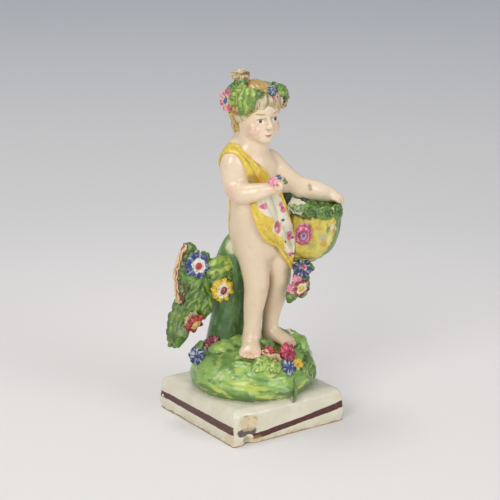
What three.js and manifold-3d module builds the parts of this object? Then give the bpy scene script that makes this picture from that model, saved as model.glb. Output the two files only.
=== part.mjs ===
// A glazed pearlware figure of a standing child, emblematic of spring, on a square plinth.
// The child stands on a round grassy mound in front of a tree stump, wears a wreath and a shoulder
// cloth, holds a posy in the right hand and leans the left arm on a basket of flowers.
// Millimetres, +Z up, the origin at the centre of the plinth's underside. The child faces -Y, and
// its own left hand is on the +X side.
import * as THREE from "three";
import { mergeVertices } from "three/addons/utils/BufferGeometryUtils.js";
import Module from "manifold-3d";

const wasm = await Module();
wasm.setup();

// Driving dimensions
const plinthSide = 53;
const plinthHeight = 14;
const plinthTaper = 0.6; // how far each side leans in by the top
const plinthRound = 2.2; // rounding of the top edge
const plinthCorner = 1.3; // rounding of the upright corners
const moundRadius = 24.6;
const moundTop = 30.4;
const headHeight = moundTop + 95.4; // the middle of the head
const shoulderHeight = moundTop + 78;
const kneeHeight = moundTop + 26.5;
const limbSides = 10;
const trunkSides = 14;
const moundSides = 24;
const crown = [1.2, -0.5]; // where the head stands in plan
const basketMouth = [23, -10.6, 86.6]; // the middle of the basket's rim
const basketRadius = 10.7;
const basketDepth = 22.2;
const basketSides = 18;
const flowerDepth = 1.9;
const leafDepth = 1.5;
const petalSteps = 3; // points round the outline of a petal

// Ways a limb's half-depth can point
const forward = new THREE.Vector3(0, -1, 0);
const backward = new THREE.Vector3(0, 1, 0);
const upward = new THREE.Vector3(0, 0, 1);

// The way the trim below the basket faces: forward and to the child's own right
const frontRight = [-0.5, -0.85, 0.15];

// Colours of the painted glaze
const glaze = {
  cream: 0xe4dcc4,
  flesh: 0xe6d0b4,
};

// Turns a closed three.js geometry into a solid that can be joined and cut.
function solidOf(geometry) {
  const bare = geometry.clone();
  bare.deleteAttribute("normal");
  bare.deleteAttribute("uv");
  const merged = mergeVertices(bare, 1e-4);
  const mesh = new wasm.Mesh({
    numProp: 3,
    vertProperties: new Float32Array(merged.attributes.position.array),
    triVerts: new Uint32Array(merged.index.array),
  });
  return new wasm.Manifold(mesh);
}

// The named mesh of a solid.
function meshOf(name, solid, colour, roughness) {
  const made = solid.getMesh();
  const geometry = new THREE.BufferGeometry();
  geometry.setAttribute("position", new THREE.BufferAttribute(made.vertProperties, 3));
  geometry.setIndex(new THREE.BufferAttribute(made.triVerts, 1));
  geometry.computeVertexNormals();
  const material = new THREE.MeshStandardMaterial({ color: colour, roughness, metalness: 0 });
  const mesh = new THREE.Mesh(geometry, material);
  mesh.name = name;
  return mesh;
}

const joined = (solids) => solids.reduce((whole, piece) => whole.add(piece));

const middle = (from, to) => from.map((value, axis) => (value + to[axis]) / 2);

// A tapering limb along a few stations [x, y, z, half-width, half-depth]; front is the way its
// half-depth points. It is a cylinder whose rings are moved to the stations.
function limb(stations, front = forward, sides = limbSides) {
  const rings = stations.length - 1;
  const geometry = new THREE.CylinderGeometry(1, 1, 1, sides, rings);
  const centres = stations.map(([x, y, z]) => new THREE.Vector3(x, y, z));
  const position = geometry.attributes.position;
  const unit = new THREE.Vector3();
  for (let i = 0; i < position.count; i++) {
    unit.fromBufferAttribute(position, i);
    const ring = Math.round((0.5 - unit.y) * rings);
    const before = centres[Math.max(ring - 1, 0)];
    const after = centres[Math.min(ring + 1, rings)];
    const along = after.clone().sub(before).normalize();
    const ahead = front.clone().addScaledVector(along, -front.dot(along)).normalize();
    const across = ahead.clone().cross(along);
    const [, , , halfWidth, halfDepth = halfWidth] = stations[ring];
    const place = centres[ring].clone();
    place.addScaledVector(across, unit.x * halfWidth);
    place.addScaledVector(ahead, unit.z * halfDepth);
    position.setXYZ(i, place.x, place.y, place.z);
  }
  return solidOf(geometry);
}

// An egg: a sphere with three half-sizes.
function egg(centre, halfSizes, tilt = [0, 0, 0], sides = 12) {
  const geometry = new THREE.SphereGeometry(1, sides, Math.round(sides * 0.66));
  geometry.scale(...halfSizes);
  geometry.rotateX(tilt[0]);
  geometry.rotateY(tilt[1]);
  geometry.rotateZ(tilt[2]);
  geometry.translate(...centre);
  return solidOf(geometry);
}

// Lays a flat sprig, drawn in its own XY plane, at a place with its face turned to a direction
// and its top edge turned towards pointing.
function sprig(geometry, centre, facing, pointing = [0, 0, 1]) {
  const out = new THREE.Vector3(...facing).normalize();
  const right = new THREE.Vector3(...pointing).cross(out).normalize();
  const up = out.clone().cross(right);
  const turn = new THREE.Matrix4().makeBasis(right, up, out);
  turn.setPosition(...centre);
  return solidOf(geometry.applyMatrix4(turn));
}

// A sprigged flower: a lobed disc with a raised boss.
function flower(centre, facing, radius, petals = 6) {
  const outline = new THREE.Shape();
  const steps = petals * petalSteps;
  for (let i = 0; i < steps; i++) {
    const angle = (i / steps) * 2 * Math.PI;
    const reach = radius * (0.86 + 0.14 * Math.cos(petals * angle));
    const at = [reach * Math.cos(angle), reach * Math.sin(angle)];
    if (i) outline.lineTo(...at);
    else outline.moveTo(...at);
  }
  const disc = new THREE.ExtrudeGeometry(outline, { depth: flowerDepth * 2, bevelEnabled: false });
  disc.translate(0, 0, -flowerDepth);
  const boss = new THREE.SphereGeometry(radius * 0.34, 6, 4);
  boss.translate(0, 0, flowerDepth);
  return sprig(disc, centre, facing).add(sprig(boss, centre, facing));
}

// A sprigged leaf: a pointed oval, its stem at the centre given and its tip towards pointing.
function leaf(stem, facing, pointing, length, width) {
  const half = width / 2;
  const outline = new THREE.Shape();
  outline.moveTo(0, -0.1 * length);
  outline.bezierCurveTo(half * 1.3, 0, half * 1.3, length * 0.7, 0, length);
  outline.bezierCurveTo(-half * 1.3, length * 0.7, -half * 1.3, 0, 0, -0.1 * length);
  const blade = new THREE.ExtrudeGeometry(outline, {
    depth: leafDepth,
    bevelEnabled: false,
    curveSegments: 3,
  });
  blade.translate(0, 0, -leafDepth / 2);
  return sprig(blade, stem, facing, pointing);
}

// The square plinth: a slightly tapering slab with rounded corners and a rounded top edge,
// chipped at the corner nearest the right foot.
function plinth() {
  const half = plinthSide / 2;
  const bands = [
    [0, 0],
    [plinthHeight - plinthRound, plinthTaper],
    [plinthHeight - plinthRound * 0.45, plinthTaper + plinthRound * 0.22],
    [plinthHeight, plinthTaper + plinthRound],
  ];
  const cornerSteps = 4;
  const sides = 4 * (cornerSteps + 1);
  const geometry = new THREE.CylinderGeometry(1, 1, 1, sides, bands.length - 1);
  const position = geometry.attributes.position;
  for (let i = 0; i < position.count; i++) {
    const [x, y, z] = [position.getX(i), position.getY(i), position.getZ(i)];
    const [level, inset] = bands[Math.round((y + 0.5) * (bands.length - 1))];
    if (Math.hypot(x, z) < 0.5) {
      position.setXYZ(i, 0, 0, level);
      continue;
    }
    const share = (Math.atan2(-z, x) / (2 * Math.PI) + 1) % 1;
    const step = Math.round(share * sides) % sides;
    const quarter = Math.floor(step / (cornerSteps + 1));
    const within = (step % (cornerSteps + 1)) / cornerSteps;
    const angle = ((quarter + within) * Math.PI) / 2;
    const centre = half - inset - plinthCorner;
    const middle = ((quarter + 0.5) * Math.PI) / 2;
    position.setXYZ(
      i,
      Math.sign(Math.cos(middle)) * centre + plinthCorner * Math.cos(angle),
      Math.sign(Math.sin(middle)) * centre + plinthCorner * Math.sin(angle),
      level,
    );
  }
  const flake = egg([-half + 6, -half - 0.4, plinthHeight - 4], [4, 1.1, 3], [0, 0, 0], 8);
  const footChip = egg([-half + 5, -half - 0.2, -0.5], [3, 1.6, 1.6], [0, 0, 0], 8);
  return solidOf(geometry).subtract(flake).subtract(footChip);
}

// The grassy mound: a low turned dome, widest a little above the plinth.
function mound() {
  const profile = [
    [0, plinthHeight],
    [moundRadius - 2.2, plinthHeight],
    [moundRadius - 0.3, plinthHeight + 2.6],
    [moundRadius, plinthHeight + 5],
    [moundRadius - 1.4, plinthHeight + 8.6],
    [moundRadius - 4.2, plinthHeight + 11.8],
    [moundRadius - 8, moundTop - 2],
    [moundRadius - 13, moundTop - 0.5],
    [0, moundTop],
  ].map(([radius, height]) => new THREE.Vector2(radius, height));
  const turned = new THREE.LatheGeometry(profile, moundSides);
  turned.rotateX(Math.PI / 2);
  return solidOf(turned);
}

// The tree stump behind the legs, which carries the child's weight.
function stump() {
  return limb([
    [-5, 11.5, moundTop - 6, 10.2, 8],
    [-4.6, 11.5, moundTop + 1, 8.7, 7.8],
    [-3.8, 11.5, kneeHeight - 13, 7, 7.2],
    [-3, 11, kneeHeight, 7.2, 7.2],
    [-1.4, 9.6, kneeHeight + 8, 7.8, 7.2],
    [0, 7, kneeHeight + 15, 7.5, 6.5],
    [1, 3, kneeHeight + 20, 3, 3],
  ]);
}

// One leg with its foot, from the hip down to the sole.
function leg({ hip, knee, calf, ankle, heel, toes }) {
  const upright = limb([
    [hip[0] + 1, hip[1], hip[2] + 5, 4.6, 5],
    [...hip, 6.6, 7.3],
    [...middle(hip, knee), 6.2, 6.7],
    [...knee, 5.5, 5.6],
    [...calf, 4.9, 5.2],
    [...ankle, 3.6, 3.9],
    [heel[0], heel[1], heel[2] - 0.5, 3.4, 3.6],
  ]);
  const [stepX, stepY] = [toes[0] - heel[0], toes[1] - heel[1]];
  const foot = limb(
    [
      [heel[0] - stepX * 0.2, heel[1] - stepY * 0.2, heel[2], 2, 1.6],
      [heel[0], heel[1], heel[2] + 0.6, 3.5, 3],
      [...middle(heel, toes).slice(0, 2), heel[2] + 0.4, 4, 3],
      [toes[0], toes[1], toes[2] + 0.2, 4.4, 1.8],
      [toes[0] + stepX * 0.15, toes[1] + stepY * 0.15, toes[2], 3, 1.1],
    ],
    upward,
  );
  return upright.add(foot);
}

// The child's trunk, from the seat to the neck.
function trunk() {
  const seat = [-2, 6.8].map((x) => egg([x, 2.8, kneeHeight + 13.6], [5.4, 5.6, 6.6], [0, 0, 0], 8));
  const column = limb(
    [
      [3, -1.5, kneeHeight + 5, 6, 5],
      [3, -1, kneeHeight + 10, 9.5, 8],
      [2.2, -0.7, kneeHeight + 15, 11, 8.8],
      [0.8, -0.6, kneeHeight + 21, 10.7, 9],
      [0.4, -0.6, kneeHeight + 28, 10, 8.6],
      [0.4, -0.3, kneeHeight + 36, 9.8, 8],
      [0.2, -0.1, shoulderHeight - 8, 10.2, 7.6],
      [-0.2, 0.2, shoulderHeight - 3, 10, 7],
      [-0.6, 0.3, shoulderHeight + 1.4, 8.6, 6.2],
      [0, 0, shoulderHeight + 4.4, 6.9, 5.9],
      [0.5, -0.2, headHeight - 8, 6.2, 5.8],
    ],
    forward,
    trunkSides,
  );
  return joined([column, ...seat]);
}

// The head: skull, cheeks, chin and nose, with short hair at the nape.
function head() {
  const [x, y] = crown;
  return joined([
    egg([x, y + 0.3, headHeight + 2], [9.3, 9.9, 9.6], [0, 0, 0], 14),
    egg([x, y - 1.6, headHeight - 4], [8.2, 8, 7], [0, 0, 0], 12),
    egg([x, y - 9, headHeight - 2.4], [1.4, 1.9, 2], [0, 0, 0], 6),
    egg([x, y + 5.6, headHeight - 4], [6.8, 4, 5], [0, 0, 0], 8),
  ]);
}

// The arm whose hand holds the posy, bent across the waist.
function rightArm(shoulder, elbow, hand) {
  const wrist = [hand[0] - 3.2, hand[1] + 3, hand[2] - 0.8];
  const upper = limb([
    [shoulder[0] + 2.5, shoulder[1], shoulder[2] + 3.6, 3, 3],
    [...shoulder, 5, 5],
    [shoulder[0] + 0.3, shoulder[1] - 0.4, shoulder[2] - 6, 5.1, 5],
    [elbow[0] - 0.2, elbow[1] + 0.8, elbow[2] + 1, 4.5, 4.6],
    [elbow[0] + 0.4, elbow[1], elbow[2] - 2.4, 3.6, 3.6],
  ]);
  const fore = limb(
    [
      [elbow[0] - 0.6, elbow[1] + 2.6, elbow[2] - 0.4, 3, 3],
      [...elbow, 4.2, 4.4],
      [elbow[0] + 2.4, elbow[1] - 6.4, elbow[2] + 0.8, 4.1, 4.2],
      [...wrist, 3.3, 3.5],
      [...hand, 3.5, 3.1],
      [hand[0] + 2, hand[1] - 1.6, hand[2] + 0.8, 2.6, 2.2],
    ],
    upward,
  );
  return upper.add(fore);
}

// The arm that lies over the basket, with its hand on the far rim.
function leftArm(shoulder, elbow, wrist, hand) {
  const upper = limb([
    [shoulder[0] - 3.5, shoulder[1], shoulder[2] + 3.4, 3, 3],
    [...shoulder, 4.8, 4.8],
    [...middle(shoulder, elbow), 4.7, 4.7],
    [...elbow, 4.5, 4.5],
    [elbow[0] + 0.8, elbow[1] - 0.6, elbow[2] - 2.8, 3, 3],
  ]);
  const fore = limb(
    [
      [elbow[0] - 2.4, elbow[1] + 0.8, elbow[2] + 0.8, 3, 3],
      [...elbow, 4.3, 4.4],
      [...middle(elbow, wrist), 4.1, 4.3],
      [...wrist, 3.5, 3.8],
      [...hand, 3.6, 3.3],
      [hand[0] + 3, hand[1], hand[2] - 2, 2.4, 2.4],
    ],
    upward,
  );
  return upper.add(fore);
}

// The shoulder cloth: over the right shoulder, across the chest, and down the back.
function sash() {
  const outward = new THREE.Vector3(-0.35, -1, 0.2);
  const chest = limb(
    [
      [-8, 2.5, shoulderHeight + 3.8, 3.6, 1.6],
      [-8.2, -2.6, shoulderHeight + 2.4, 4, 1.6],
      [-5.8, -5.4, shoulderHeight - 2.4, 4.2, 1.8],
      [-2.6, -7, shoulderHeight - 8.6, 4.6, 1.8],
      [0, -8, shoulderHeight - 15, 5.2, 1.9],
    ],
    outward,
  );
  const back = limb(
    [
      [-7.6, 1, shoulderHeight + 3, 3.6, 1.6],
      [-7, 5, shoulderHeight, 4, 1.6],
      [-3.4, 7.4, shoulderHeight - 8, 5, 1.4],
      [-1, 8.2, shoulderHeight - 20, 6, 1.4],
      [0, 8.8, shoulderHeight - 34, 6, 1.4],
    ],
    backward,
  );
  return chest.add(back);
}

// The flowered end of the cloth, which falls from the forearm to a point by the left knee.
function drape() {
  return limb([
    [-1, -8.4, shoulderHeight - 13.4, 7.4, 3],
    [0.8, -9.2, shoulderHeight - 19, 8.2, 2.8],
    [3.8, -9.8, shoulderHeight - 26, 8.4, 2.8],
    [6.8, -9.8, shoulderHeight - 34, 6.2, 3],
    [9.2, -8.8, shoulderHeight - 41, 3.6, 2.8],
    [11.4, -8.2, shoulderHeight - 47.4, 0.9, 1.6],
  ]);
}

// The flower basket at the left hip: a turned bowl heaped with leaves.
function basket() {
  const [x, y, z] = basketMouth;
  const profile = [
    [0, -basketDepth],
    [5.2, -basketDepth],
    [5.3, -basketDepth + 1.8],
    [8.2, -basketDepth + 3.6],
    [9.8, -basketDepth + 6.8],
    [basketRadius - 0.1, -basketDepth + 11],
    [basketRadius, -4],
    [basketRadius - 0.6, 0],
    [basketRadius - 3, 0.2],
    [basketRadius - 4, -1.8],
    [0, -1.8],
  ].map(([radius, height]) => new THREE.Vector2(radius, height));
  const turned = new THREE.LatheGeometry(profile, basketSides);
  turned.rotateX(Math.PI / 2);
  turned.translate(x, y, z);
  const strut = limb([
    [8, -4, z - 18.6, 4, 4],
    [14, -6.5, z - 15.6, 4.5, 5],
    [20, -9, z - 14.6, 5, 5],
  ]);
  const heap = egg([x + 1, y, z - 0.2], [8, 7.4, 5], [0, 0, 0], 8);
  return joined([solidOf(turned), strut, heap]);
}

// Flowers and leaves that trim the basket and hang below it.
function basketTrim() {
  const [x, y, z] = basketMouth;
  return joined([
    flower([x - 9.4, y - 6.4, z - 8.8], [-0.6, -0.8, 0], 4, 8),
    flower([x - 7.2, y - 4.4, z - 24], frontRight, 4.2, 6),
    flower([x - 10.6, y - 3.4, z - 28], [-0.5, -0.8, -0.2], 3, 6),
    flower([x - 8.6, y - 4.4, z - 31.2], frontRight, 4.1, 7),
    leaf([x - 12.4, y - 2.2, z - 32], frontRight, [-0.2, 0, -1], 6, 5),
    limb([
      [x - 5.6, y - 1, z - 19.6, 3.6, 3],
      [x - 7.6, y - 2, z - 25, 3.8, 2.6],
      [x - 9.6, y - 2.4, z - 30.4, 3, 2.2],
      [x - 10.4, y - 2.4, z - 33.4, 1.4, 1.2],
    ]),
    leaf([x - 4, y - 8.6, z - 0.6], [-0.3, -0.9, 0.5], [0.2, -0.4, -1], 6, 6),
    leaf([x + 3, y - 9.2, z - 0.6], [0.2, -0.9, 0.5], [0, -0.4, -1], 6, 6),
    leaf([x + 8.4, y - 5.4, z - 0.4], [0.8, -0.6, 0.4], [0.4, -0.3, -1], 6, 6),
  ]);
}

// The spray of leaves and flowers that branches from the stump.
function spray() {
  const facing = [-0.15, -1, 0.1];
  return joined([
    egg([-21.6, 11, 58], [6.4, 2.4, 14.4], [0, 0.04, -0.06], 12),
    egg([-13.6, 9.2, 56.6], [9.6, 3, 6.6], [0, 0, -0.36], 10),
    egg([-26.8, 11.3, 40.4], [4.6, 2, 10.8], [0, 0.1, -0.1], 10),
    flower([-21.4, 8.4, 65], facing, 5.4, 6),
    flower([-11.6, 5.2, 53.7], facing, 5, 8),
    flower([-22.4, 9, 40.7], [0.25, -0.75, -0.6], 4.8, 6),
    leaf([-25.6, 10.8, 50], facing, [-0.1, 0, -1], 19, 9),
    leaf([-24.2, 10.4, 58], facing, [0.1, 0, 1], 13.6, 9),
    leaf([-20.6, 9.8, 57], facing, [0.5, 0, 1], 12.4, 8),
    leaf([-17, 8.2, 61], facing, [1, -0.3, 0.1], 12, 8),
    leaf([-17.4, 9.4, 58.6], facing, [-0.4, 0, -1], 14.6, 9),
  ]);
}

// The wreath: a thick ring round the crown with flowers, leaves and a topknot of hair.
function wreath() {
  const level = headHeight + 7;
  const ring = new THREE.TorusGeometry(8.6, 1.7, 6, 16);
  ring.rotateX(0.16);
  ring.translate(...crown, level);
  return joined([
    solidOf(ring),
    egg([-3, 2.4, level + 4.4], [3.4, 3.2, 3], [0, 0.3, 0], 10),
    flower([-3.8, 2.6, level + 7.6], [-0.3, -0.16, 1], 4, 5),
    flower([-9.2, 3.8, level - 2], [-1, 0, 0.1], 4.3, 7),
    flower([2.2, -10.6, level + 3.4], [-0.1, -0.9, 0.3], 2.8, 6),
    leaf([-6.8, -7.8, level + 3], [-0.5, -0.8, 0.1], [-0.3, -0.1, -1], 9, 6.6),
    leaf([-5, -8.4, level + 1.6], [-0.3, -1, 0.3], [1, -0.4, -0.1], 7, 4.6),
    leaf([-7.4, -2.4, level - 0.6], [-0.85, -0.4, 0.5], [0.3, 0.5, 0.9], 9, 6),
    leaf([9.4, -6.4, level + 3], [0.6, -0.8, 0.2], [0.3, 0, -1], 6, 4.2),
    leaf([10, -3.6, level + 1], [0.9, -0.4, 0.2], [0.1, 1, -0.2], 7, 6),
    leaf([9.6, 5.6, level], [0.8, 0.6, 0.2], [0, 0.2, -1], 7, 7),
    leaf([0.6, 9.6, level - 0.6], [0, 1, 0.2], [0, 0, -1], 8, 7),
    leaf([-6.6, 7.6, level - 1], [-0.7, 0.7, 0.2], [0, 0, -1], 7, 7),
  ]);
}

// The small posy in the right hand.
function posy(hand) {
  return joined([
    flower([hand[0] + 0.4, hand[1] - 0.8, hand[2] + 3.2], [-0.4, -0.7, 0.5], 2.6, 6),
    leaf([hand[0] + 1, hand[1], hand[2] + 2.4], [0, -0.7, 0.7], [1, 0, 0.5], 4, 3.4),
  ]);
}

// Flowers and leaves strewn on the mound.
function strewn() {
  return joined([
    flower([-14.6, 7.4, 30.4], [-0.45, -0.8, 0.5], 3.3, 6),
    flower([-20.2, 8.2, 26], [-0.7, -0.7, 0.3], 3.5, 6),
    flower([-2.2, -15, 30.6], [-0.1, -0.75, 0.65], 3.3, 6),
    flower([5.4, -15.4, 29.2], [0.1, -0.9, 0.4], 3.7, 6),
    flower([2.6, -21.2, 25], [-0.2, -0.95, 0.2], 3.4, 6),
    flower([8.2, -19.2, 24.8], [0, -0.95, 0.3], 2.6, 6),
    leaf([-3.6, -17, 29], [-0.3, -0.7, 0.7], [-1, -0.2, -0.2], 9, 6),
    leaf([-2.6, -18.6, 27.2], [-0.2, -0.85, 0.5], [-0.9, -0.4, -0.4], 7, 5.4),
    leaf([15.6, -2, 28.8], [0.6, -0.2, 0.8], [0.6, -0.6, -0.4], 7.6, 5),
    leaf([18.4, -7.4, 26.6], [0.8, -0.4, 0.5], [0.3, -0.4, -0.8], 10, 6),
    leaf([16.8, -15.6, 25], [0.5, -0.8, 0.4], [0.4, -0.2, -0.9], 9.6, 6),
    leaf([10, 16, 28], [0.6, 0.6, 0.6], [0.5, 0.2, -0.6], 9, 7),
  ]);
}

const rightHand = [0.2, -15.4, 98.4];
const rightLeg = {
  hip: [-1.6, -2, 70],
  knee: [-1.6, -5.6, kneeHeight],
  calf: [-2.2, -4.6, 50],
  ankle: [-3.2, -4.8, 39.6],
  heel: [-3.6, -4.6, 32.2],
  toes: [-9.2, -12.2, 31],
};
const leftLeg = {
  hip: [9.2, -1.8, 69.6],
  knee: [9.6, -4.4, kneeHeight],
  calf: [8.8, -2.4, 48.6],
  ankle: [7.6, -1.6, 39],
  heel: [7.6, -1.8, 32.2],
  toes: [10.8, -11.2, 31.4],
};
const child = joined([
  trunk(),
  head(),
  leg(rightLeg),
  leg(leftLeg),
  rightArm([-9.2, 0.3, 108], [-9.6, -3.2, 95.2], rightHand),
  leftArm([9.2, 1, 103.2], [15.7, -8, 95], [27.2, -11.8, 91.3], [30.8, -12, 89.9]),
  egg([11.4, -4.4, 94.6], [4.4, 4, 3.6], [0, 0, 0], 8), // clay between the left elbow and the side
]);
const dressed = joined([child, sash(), drape(), wreath(), posy(rightHand)]);
const ground = joined([mound(), stump(), spray(), strewn()]);
const figure = joined([ground, dressed, basket(), basketTrim()]);

const object = new THREE.Group();
object.add(meshOf("plinth", plinth(), glaze.cream, 0.3));
object.add(meshOf("figure", figure, glaze.flesh, 0.25));

export default object;
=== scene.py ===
from math import cos, exp, pi, radians, sin

import bmesh
import bpy
import numpy as np
from bmesh.types import BMEdge, BMFace, BMVert
from mathutils import Matrix, Vector, noise
from mathutils.bvhtree import BVHTree
from mathutils.kdtree import KDTree


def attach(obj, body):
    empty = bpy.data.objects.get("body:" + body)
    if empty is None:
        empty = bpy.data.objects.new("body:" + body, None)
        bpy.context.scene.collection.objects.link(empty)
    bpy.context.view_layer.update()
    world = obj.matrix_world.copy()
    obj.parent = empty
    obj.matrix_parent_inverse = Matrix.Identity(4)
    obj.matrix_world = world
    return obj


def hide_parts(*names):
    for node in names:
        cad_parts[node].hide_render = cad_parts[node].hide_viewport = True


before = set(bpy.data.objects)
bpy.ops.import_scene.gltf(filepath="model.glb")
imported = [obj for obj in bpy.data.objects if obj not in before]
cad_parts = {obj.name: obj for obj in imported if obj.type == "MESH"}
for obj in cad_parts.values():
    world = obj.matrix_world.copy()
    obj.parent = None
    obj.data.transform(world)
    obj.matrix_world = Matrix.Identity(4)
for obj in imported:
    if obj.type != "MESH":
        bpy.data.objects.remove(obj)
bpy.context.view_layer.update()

# Everything is modelled in millimetres, and each finished piece is turned to metres.
# The child faces -Y, its left hand is on the +X side, and the plinth stands on z = 0.
metre = 0.001
forward = Vector((0, -1, 0))
backward = Vector((0, 1, 0))
upward = Vector((0, 0, 1))
coarse = 1.0  # bigger voxels while trying things

scene = bpy.context.scene
scene.view_settings.view_transform = "Standard"


# camera

camera = {"turn": -34.0, "lift": 17.25, "away": 795.0, "aimAcross": -0.95, "aimHeight": 69.5, "lens": 144.0}


def placeCamera():
    turn, lift = radians(camera["turn"]), radians(camera["lift"])
    back = Vector((sin(turn) * cos(lift), -cos(turn) * cos(lift), sin(lift)))
    right = Vector((cos(turn), sin(turn), 0))
    eye = right * camera["aimAcross"] + upward * camera["aimHeight"] + back * camera["away"]
    data = bpy.data.cameras.new("photoCamera")
    data.lens = camera["lens"]
    data.sensor_width = 36
    data.clip_start = 0.01
    made = bpy.data.objects.new("photoCamera", data)
    made.location = eye * metre
    made.rotation_euler = back.to_track_quat("Z", "Y").to_euler()
    scene.collection.objects.link(made)
    scene.camera = made


placeCamera()
print("camera placed")


# modelling helpers


def newPiece(name, bm):
    mesh = bpy.data.meshes.new(name)
    bm.to_mesh(mesh)
    bm.free()
    piece = bpy.data.objects.new(name, mesh)
    scene.collection.objects.link(piece)
    return piece


def only(kind, parts):
    return [part for part in parts if isinstance(part, kind)]


def applyModifiers(piece):
    graph = bpy.context.evaluated_depsgraph_get()
    old = piece.data
    piece.data = bpy.data.meshes.new_from_object(piece.evaluated_get(graph))
    piece.data.name = piece.name
    piece.modifiers.clear()
    bpy.data.meshes.remove(old)


def readEdges(mesh):
    # the two end points of every edge
    ends = np.empty(len(mesh.edges) * 2, np.int32)
    mesh.edges.foreach_get("vertices", ends)
    return ends[0::2], ends[1::2]


def dropSpecks(mesh, smallest=60):
    # the voxel remesh can leave tiny closed specks, which are taken out
    near, far = readEdges(mesh)
    island = np.arange(len(mesh.vertices))
    while (island[near] != island[far]).any():
        lower = np.minimum(island[near], island[far])
        np.minimum.at(island, island[near], lower)
        np.minimum.at(island, island[far], lower)
        island = island[island]
    speck = np.bincount(island, minlength=len(island))[island] < smallest
    if speck.any():
        bm = bmesh.new()
        bm.from_mesh(mesh)
        bmesh.ops.delete(bm, geom=[vertex for vertex in bm.verts if speck[vertex.index]], context="VERTS")
        bm.to_mesh(mesh)
        bm.free()


def fuse(piece, voxel, soften=3, thickness=0.0):
    if thickness:
        shell = piece.modifiers.new("thicken", "SOLIDIFY")
        shell.thickness = thickness
        shell.offset = 0
    remesh = piece.modifiers.new("fuse", "REMESH")
    remesh.mode = "VOXEL"
    remesh.voxel_size = voxel * coarse
    smooth = piece.modifiers.new("soften", "SMOOTH")
    smooth.factor = 0.5
    smooth.iterations = soften
    applyModifiers(piece)
    dropSpecks(piece.data)


def smoothRun(stations, cuts):
    # a Catmull-Rom run through stations of any number of values
    ends = [stations[0], *stations, stations[-1]]
    run = []
    for a, b, c, d in zip(ends, ends[1:], ends[2:], ends[3:]):
        for step in range(cuts):
            t = step / cuts
            run.append([
                0.5 * (2 * q + (r - p) * t
                       + (2 * p - 5 * q + 4 * r - s) * t * t + (3 * q - p - 3 * r + s) * t**3)
                for p, q, r, s in zip(a, b, c, d)
            ])
    run.append(list(stations[-1]))
    return run


def ringMatrix(run, i, ahead):
    x, y, z, halfWidth, halfDepth = run[i]
    before, after = run[max(i - 1, 0)], run[min(i + 1, len(run) - 1)]
    along = (Vector(after[:3]) - Vector(before[:3])).normalized()
    out = (ahead - along * ahead.dot(along)).normalized()
    across = out.cross(along)
    turned = Matrix((across * halfWidth, out * halfDepth, along)).transposed().to_4x4()
    return Matrix.Translation((x, y, z)) @ turned


def loft(bm, stations, ahead=forward, sides=20, cuts=4):
    # a closed tapering form through stations (x, y, z, half-width, half-depth)
    run = smoothRun(stations, cuts)
    rings = [ringMatrix(run, i, ahead) for i in range(len(run))]
    made = bmesh.ops.create_circle(bm, cap_ends=True, radius=1, segments=sides, matrix=rings[0])
    cap = made["verts"][0].link_faces[0]
    for i in range(1, len(rings)):
        out = bmesh.ops.extrude_face_region(bm, geom=[cap], use_keep_orig=i == 1)
        verts, cap = only(BMVert, out["geom"]), only(BMFace, out["geom"])[0]
        bmesh.ops.transform(bm, matrix=rings[i] @ rings[i - 1].inverted(), verts=verts)


def egg(bm, centre, halfSizes, turn=(0, 0, 0), sides=20):
    aboutX, aboutY, aboutZ = (Matrix.Rotation(angle, 4, axis) for angle, axis in zip(turn, "XYZ"))
    turned = aboutZ @ aboutY @ aboutX
    place = Matrix.Translation(centre) @ turned @ Matrix.Diagonal((*halfSizes, 1))
    levels = max(6, sides * 2 // 3)
    bmesh.ops.create_uvsphere(bm, u_segments=sides, v_segments=levels, radius=1, matrix=place)


def readPoints(mesh):
    # places and normals as arrays, both read before anything moves
    co, normal = (np.empty(len(mesh.vertices) * 3, np.float64) for _ in range(2))
    mesh.vertices.foreach_get("co", co)
    mesh.vertices.foreach_get("normal", normal)
    return co.reshape(-1, 3), normal.reshape(-1, 3)


def movePoints(mesh, co):
    mesh.vertices.foreach_set("co", np.ascontiguousarray(co).ravel())
    mesh.update()


def cloud(points, size, shift=0.0, stretch=(1, 1, 1)):
    # smooth noise from -1 to 1 at each point, with lumps about size millimetres wide
    scaled = np.asarray(points) / (size * np.asarray(stretch)) + shift
    return np.array([noise.noise(point) for point in scaled])


def sculpt(piece, touches):
    # each touch is (centre, reach, push), pushing along the surface's normal or a direction
    co, normal = readPoints(piece.data)
    for centre, reach, push in touches:
        distance = np.linalg.norm(co - np.asarray(centre), axis=1)
        weight = np.clip(1 - (distance / reach) ** 2, 0, None)[:, None] ** 2
        co += weight * (normal * push if isinstance(push, (int, float)) else np.asarray(push))
    movePoints(piece.data, co)


def neighbourMean(mesh):
    # a function that gives each point the mean of the points it shares an edge with
    near, far = readEdges(mesh)
    count = len(mesh.vertices)
    degree = np.maximum(np.bincount(near, minlength=count) + np.bincount(far, minlength=count), 1)

    def mean(co):
        sums = [
            np.bincount(near, co[far, axis], count) + np.bincount(far, co[near, axis], count)
            for axis in range(3)
        ]
        return np.stack(sums, axis=1) / degree[:, None]

    return mean


def relax(piece, rounds, crisp=()):
    # blends the joins between forms, except near the crisp places
    mesh = piece.data
    co, _ = readPoints(mesh)
    share = np.ones(len(co))
    for centre, reach in crisp:
        distance = np.linalg.norm(co - np.asarray(centre), axis=1)
        share = np.minimum(share, np.clip(distance / reach - 0.6, 0, 0.4) / 0.4)
    mean = neighbourMean(mesh)
    for _ in range(round(rounds / coarse**2)):
        co += (mean(co) - co) * share[:, None] * 0.7
    movePoints(mesh, co)


def ripple(piece, *layers):
    # each layer is (size, height), pushed along the normal
    co, normal = readPoints(piece.data)
    push = sum(cloud(co, size) * height for size, height in layers)
    movePoints(piece.data, co + normal * push[:, None])


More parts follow.
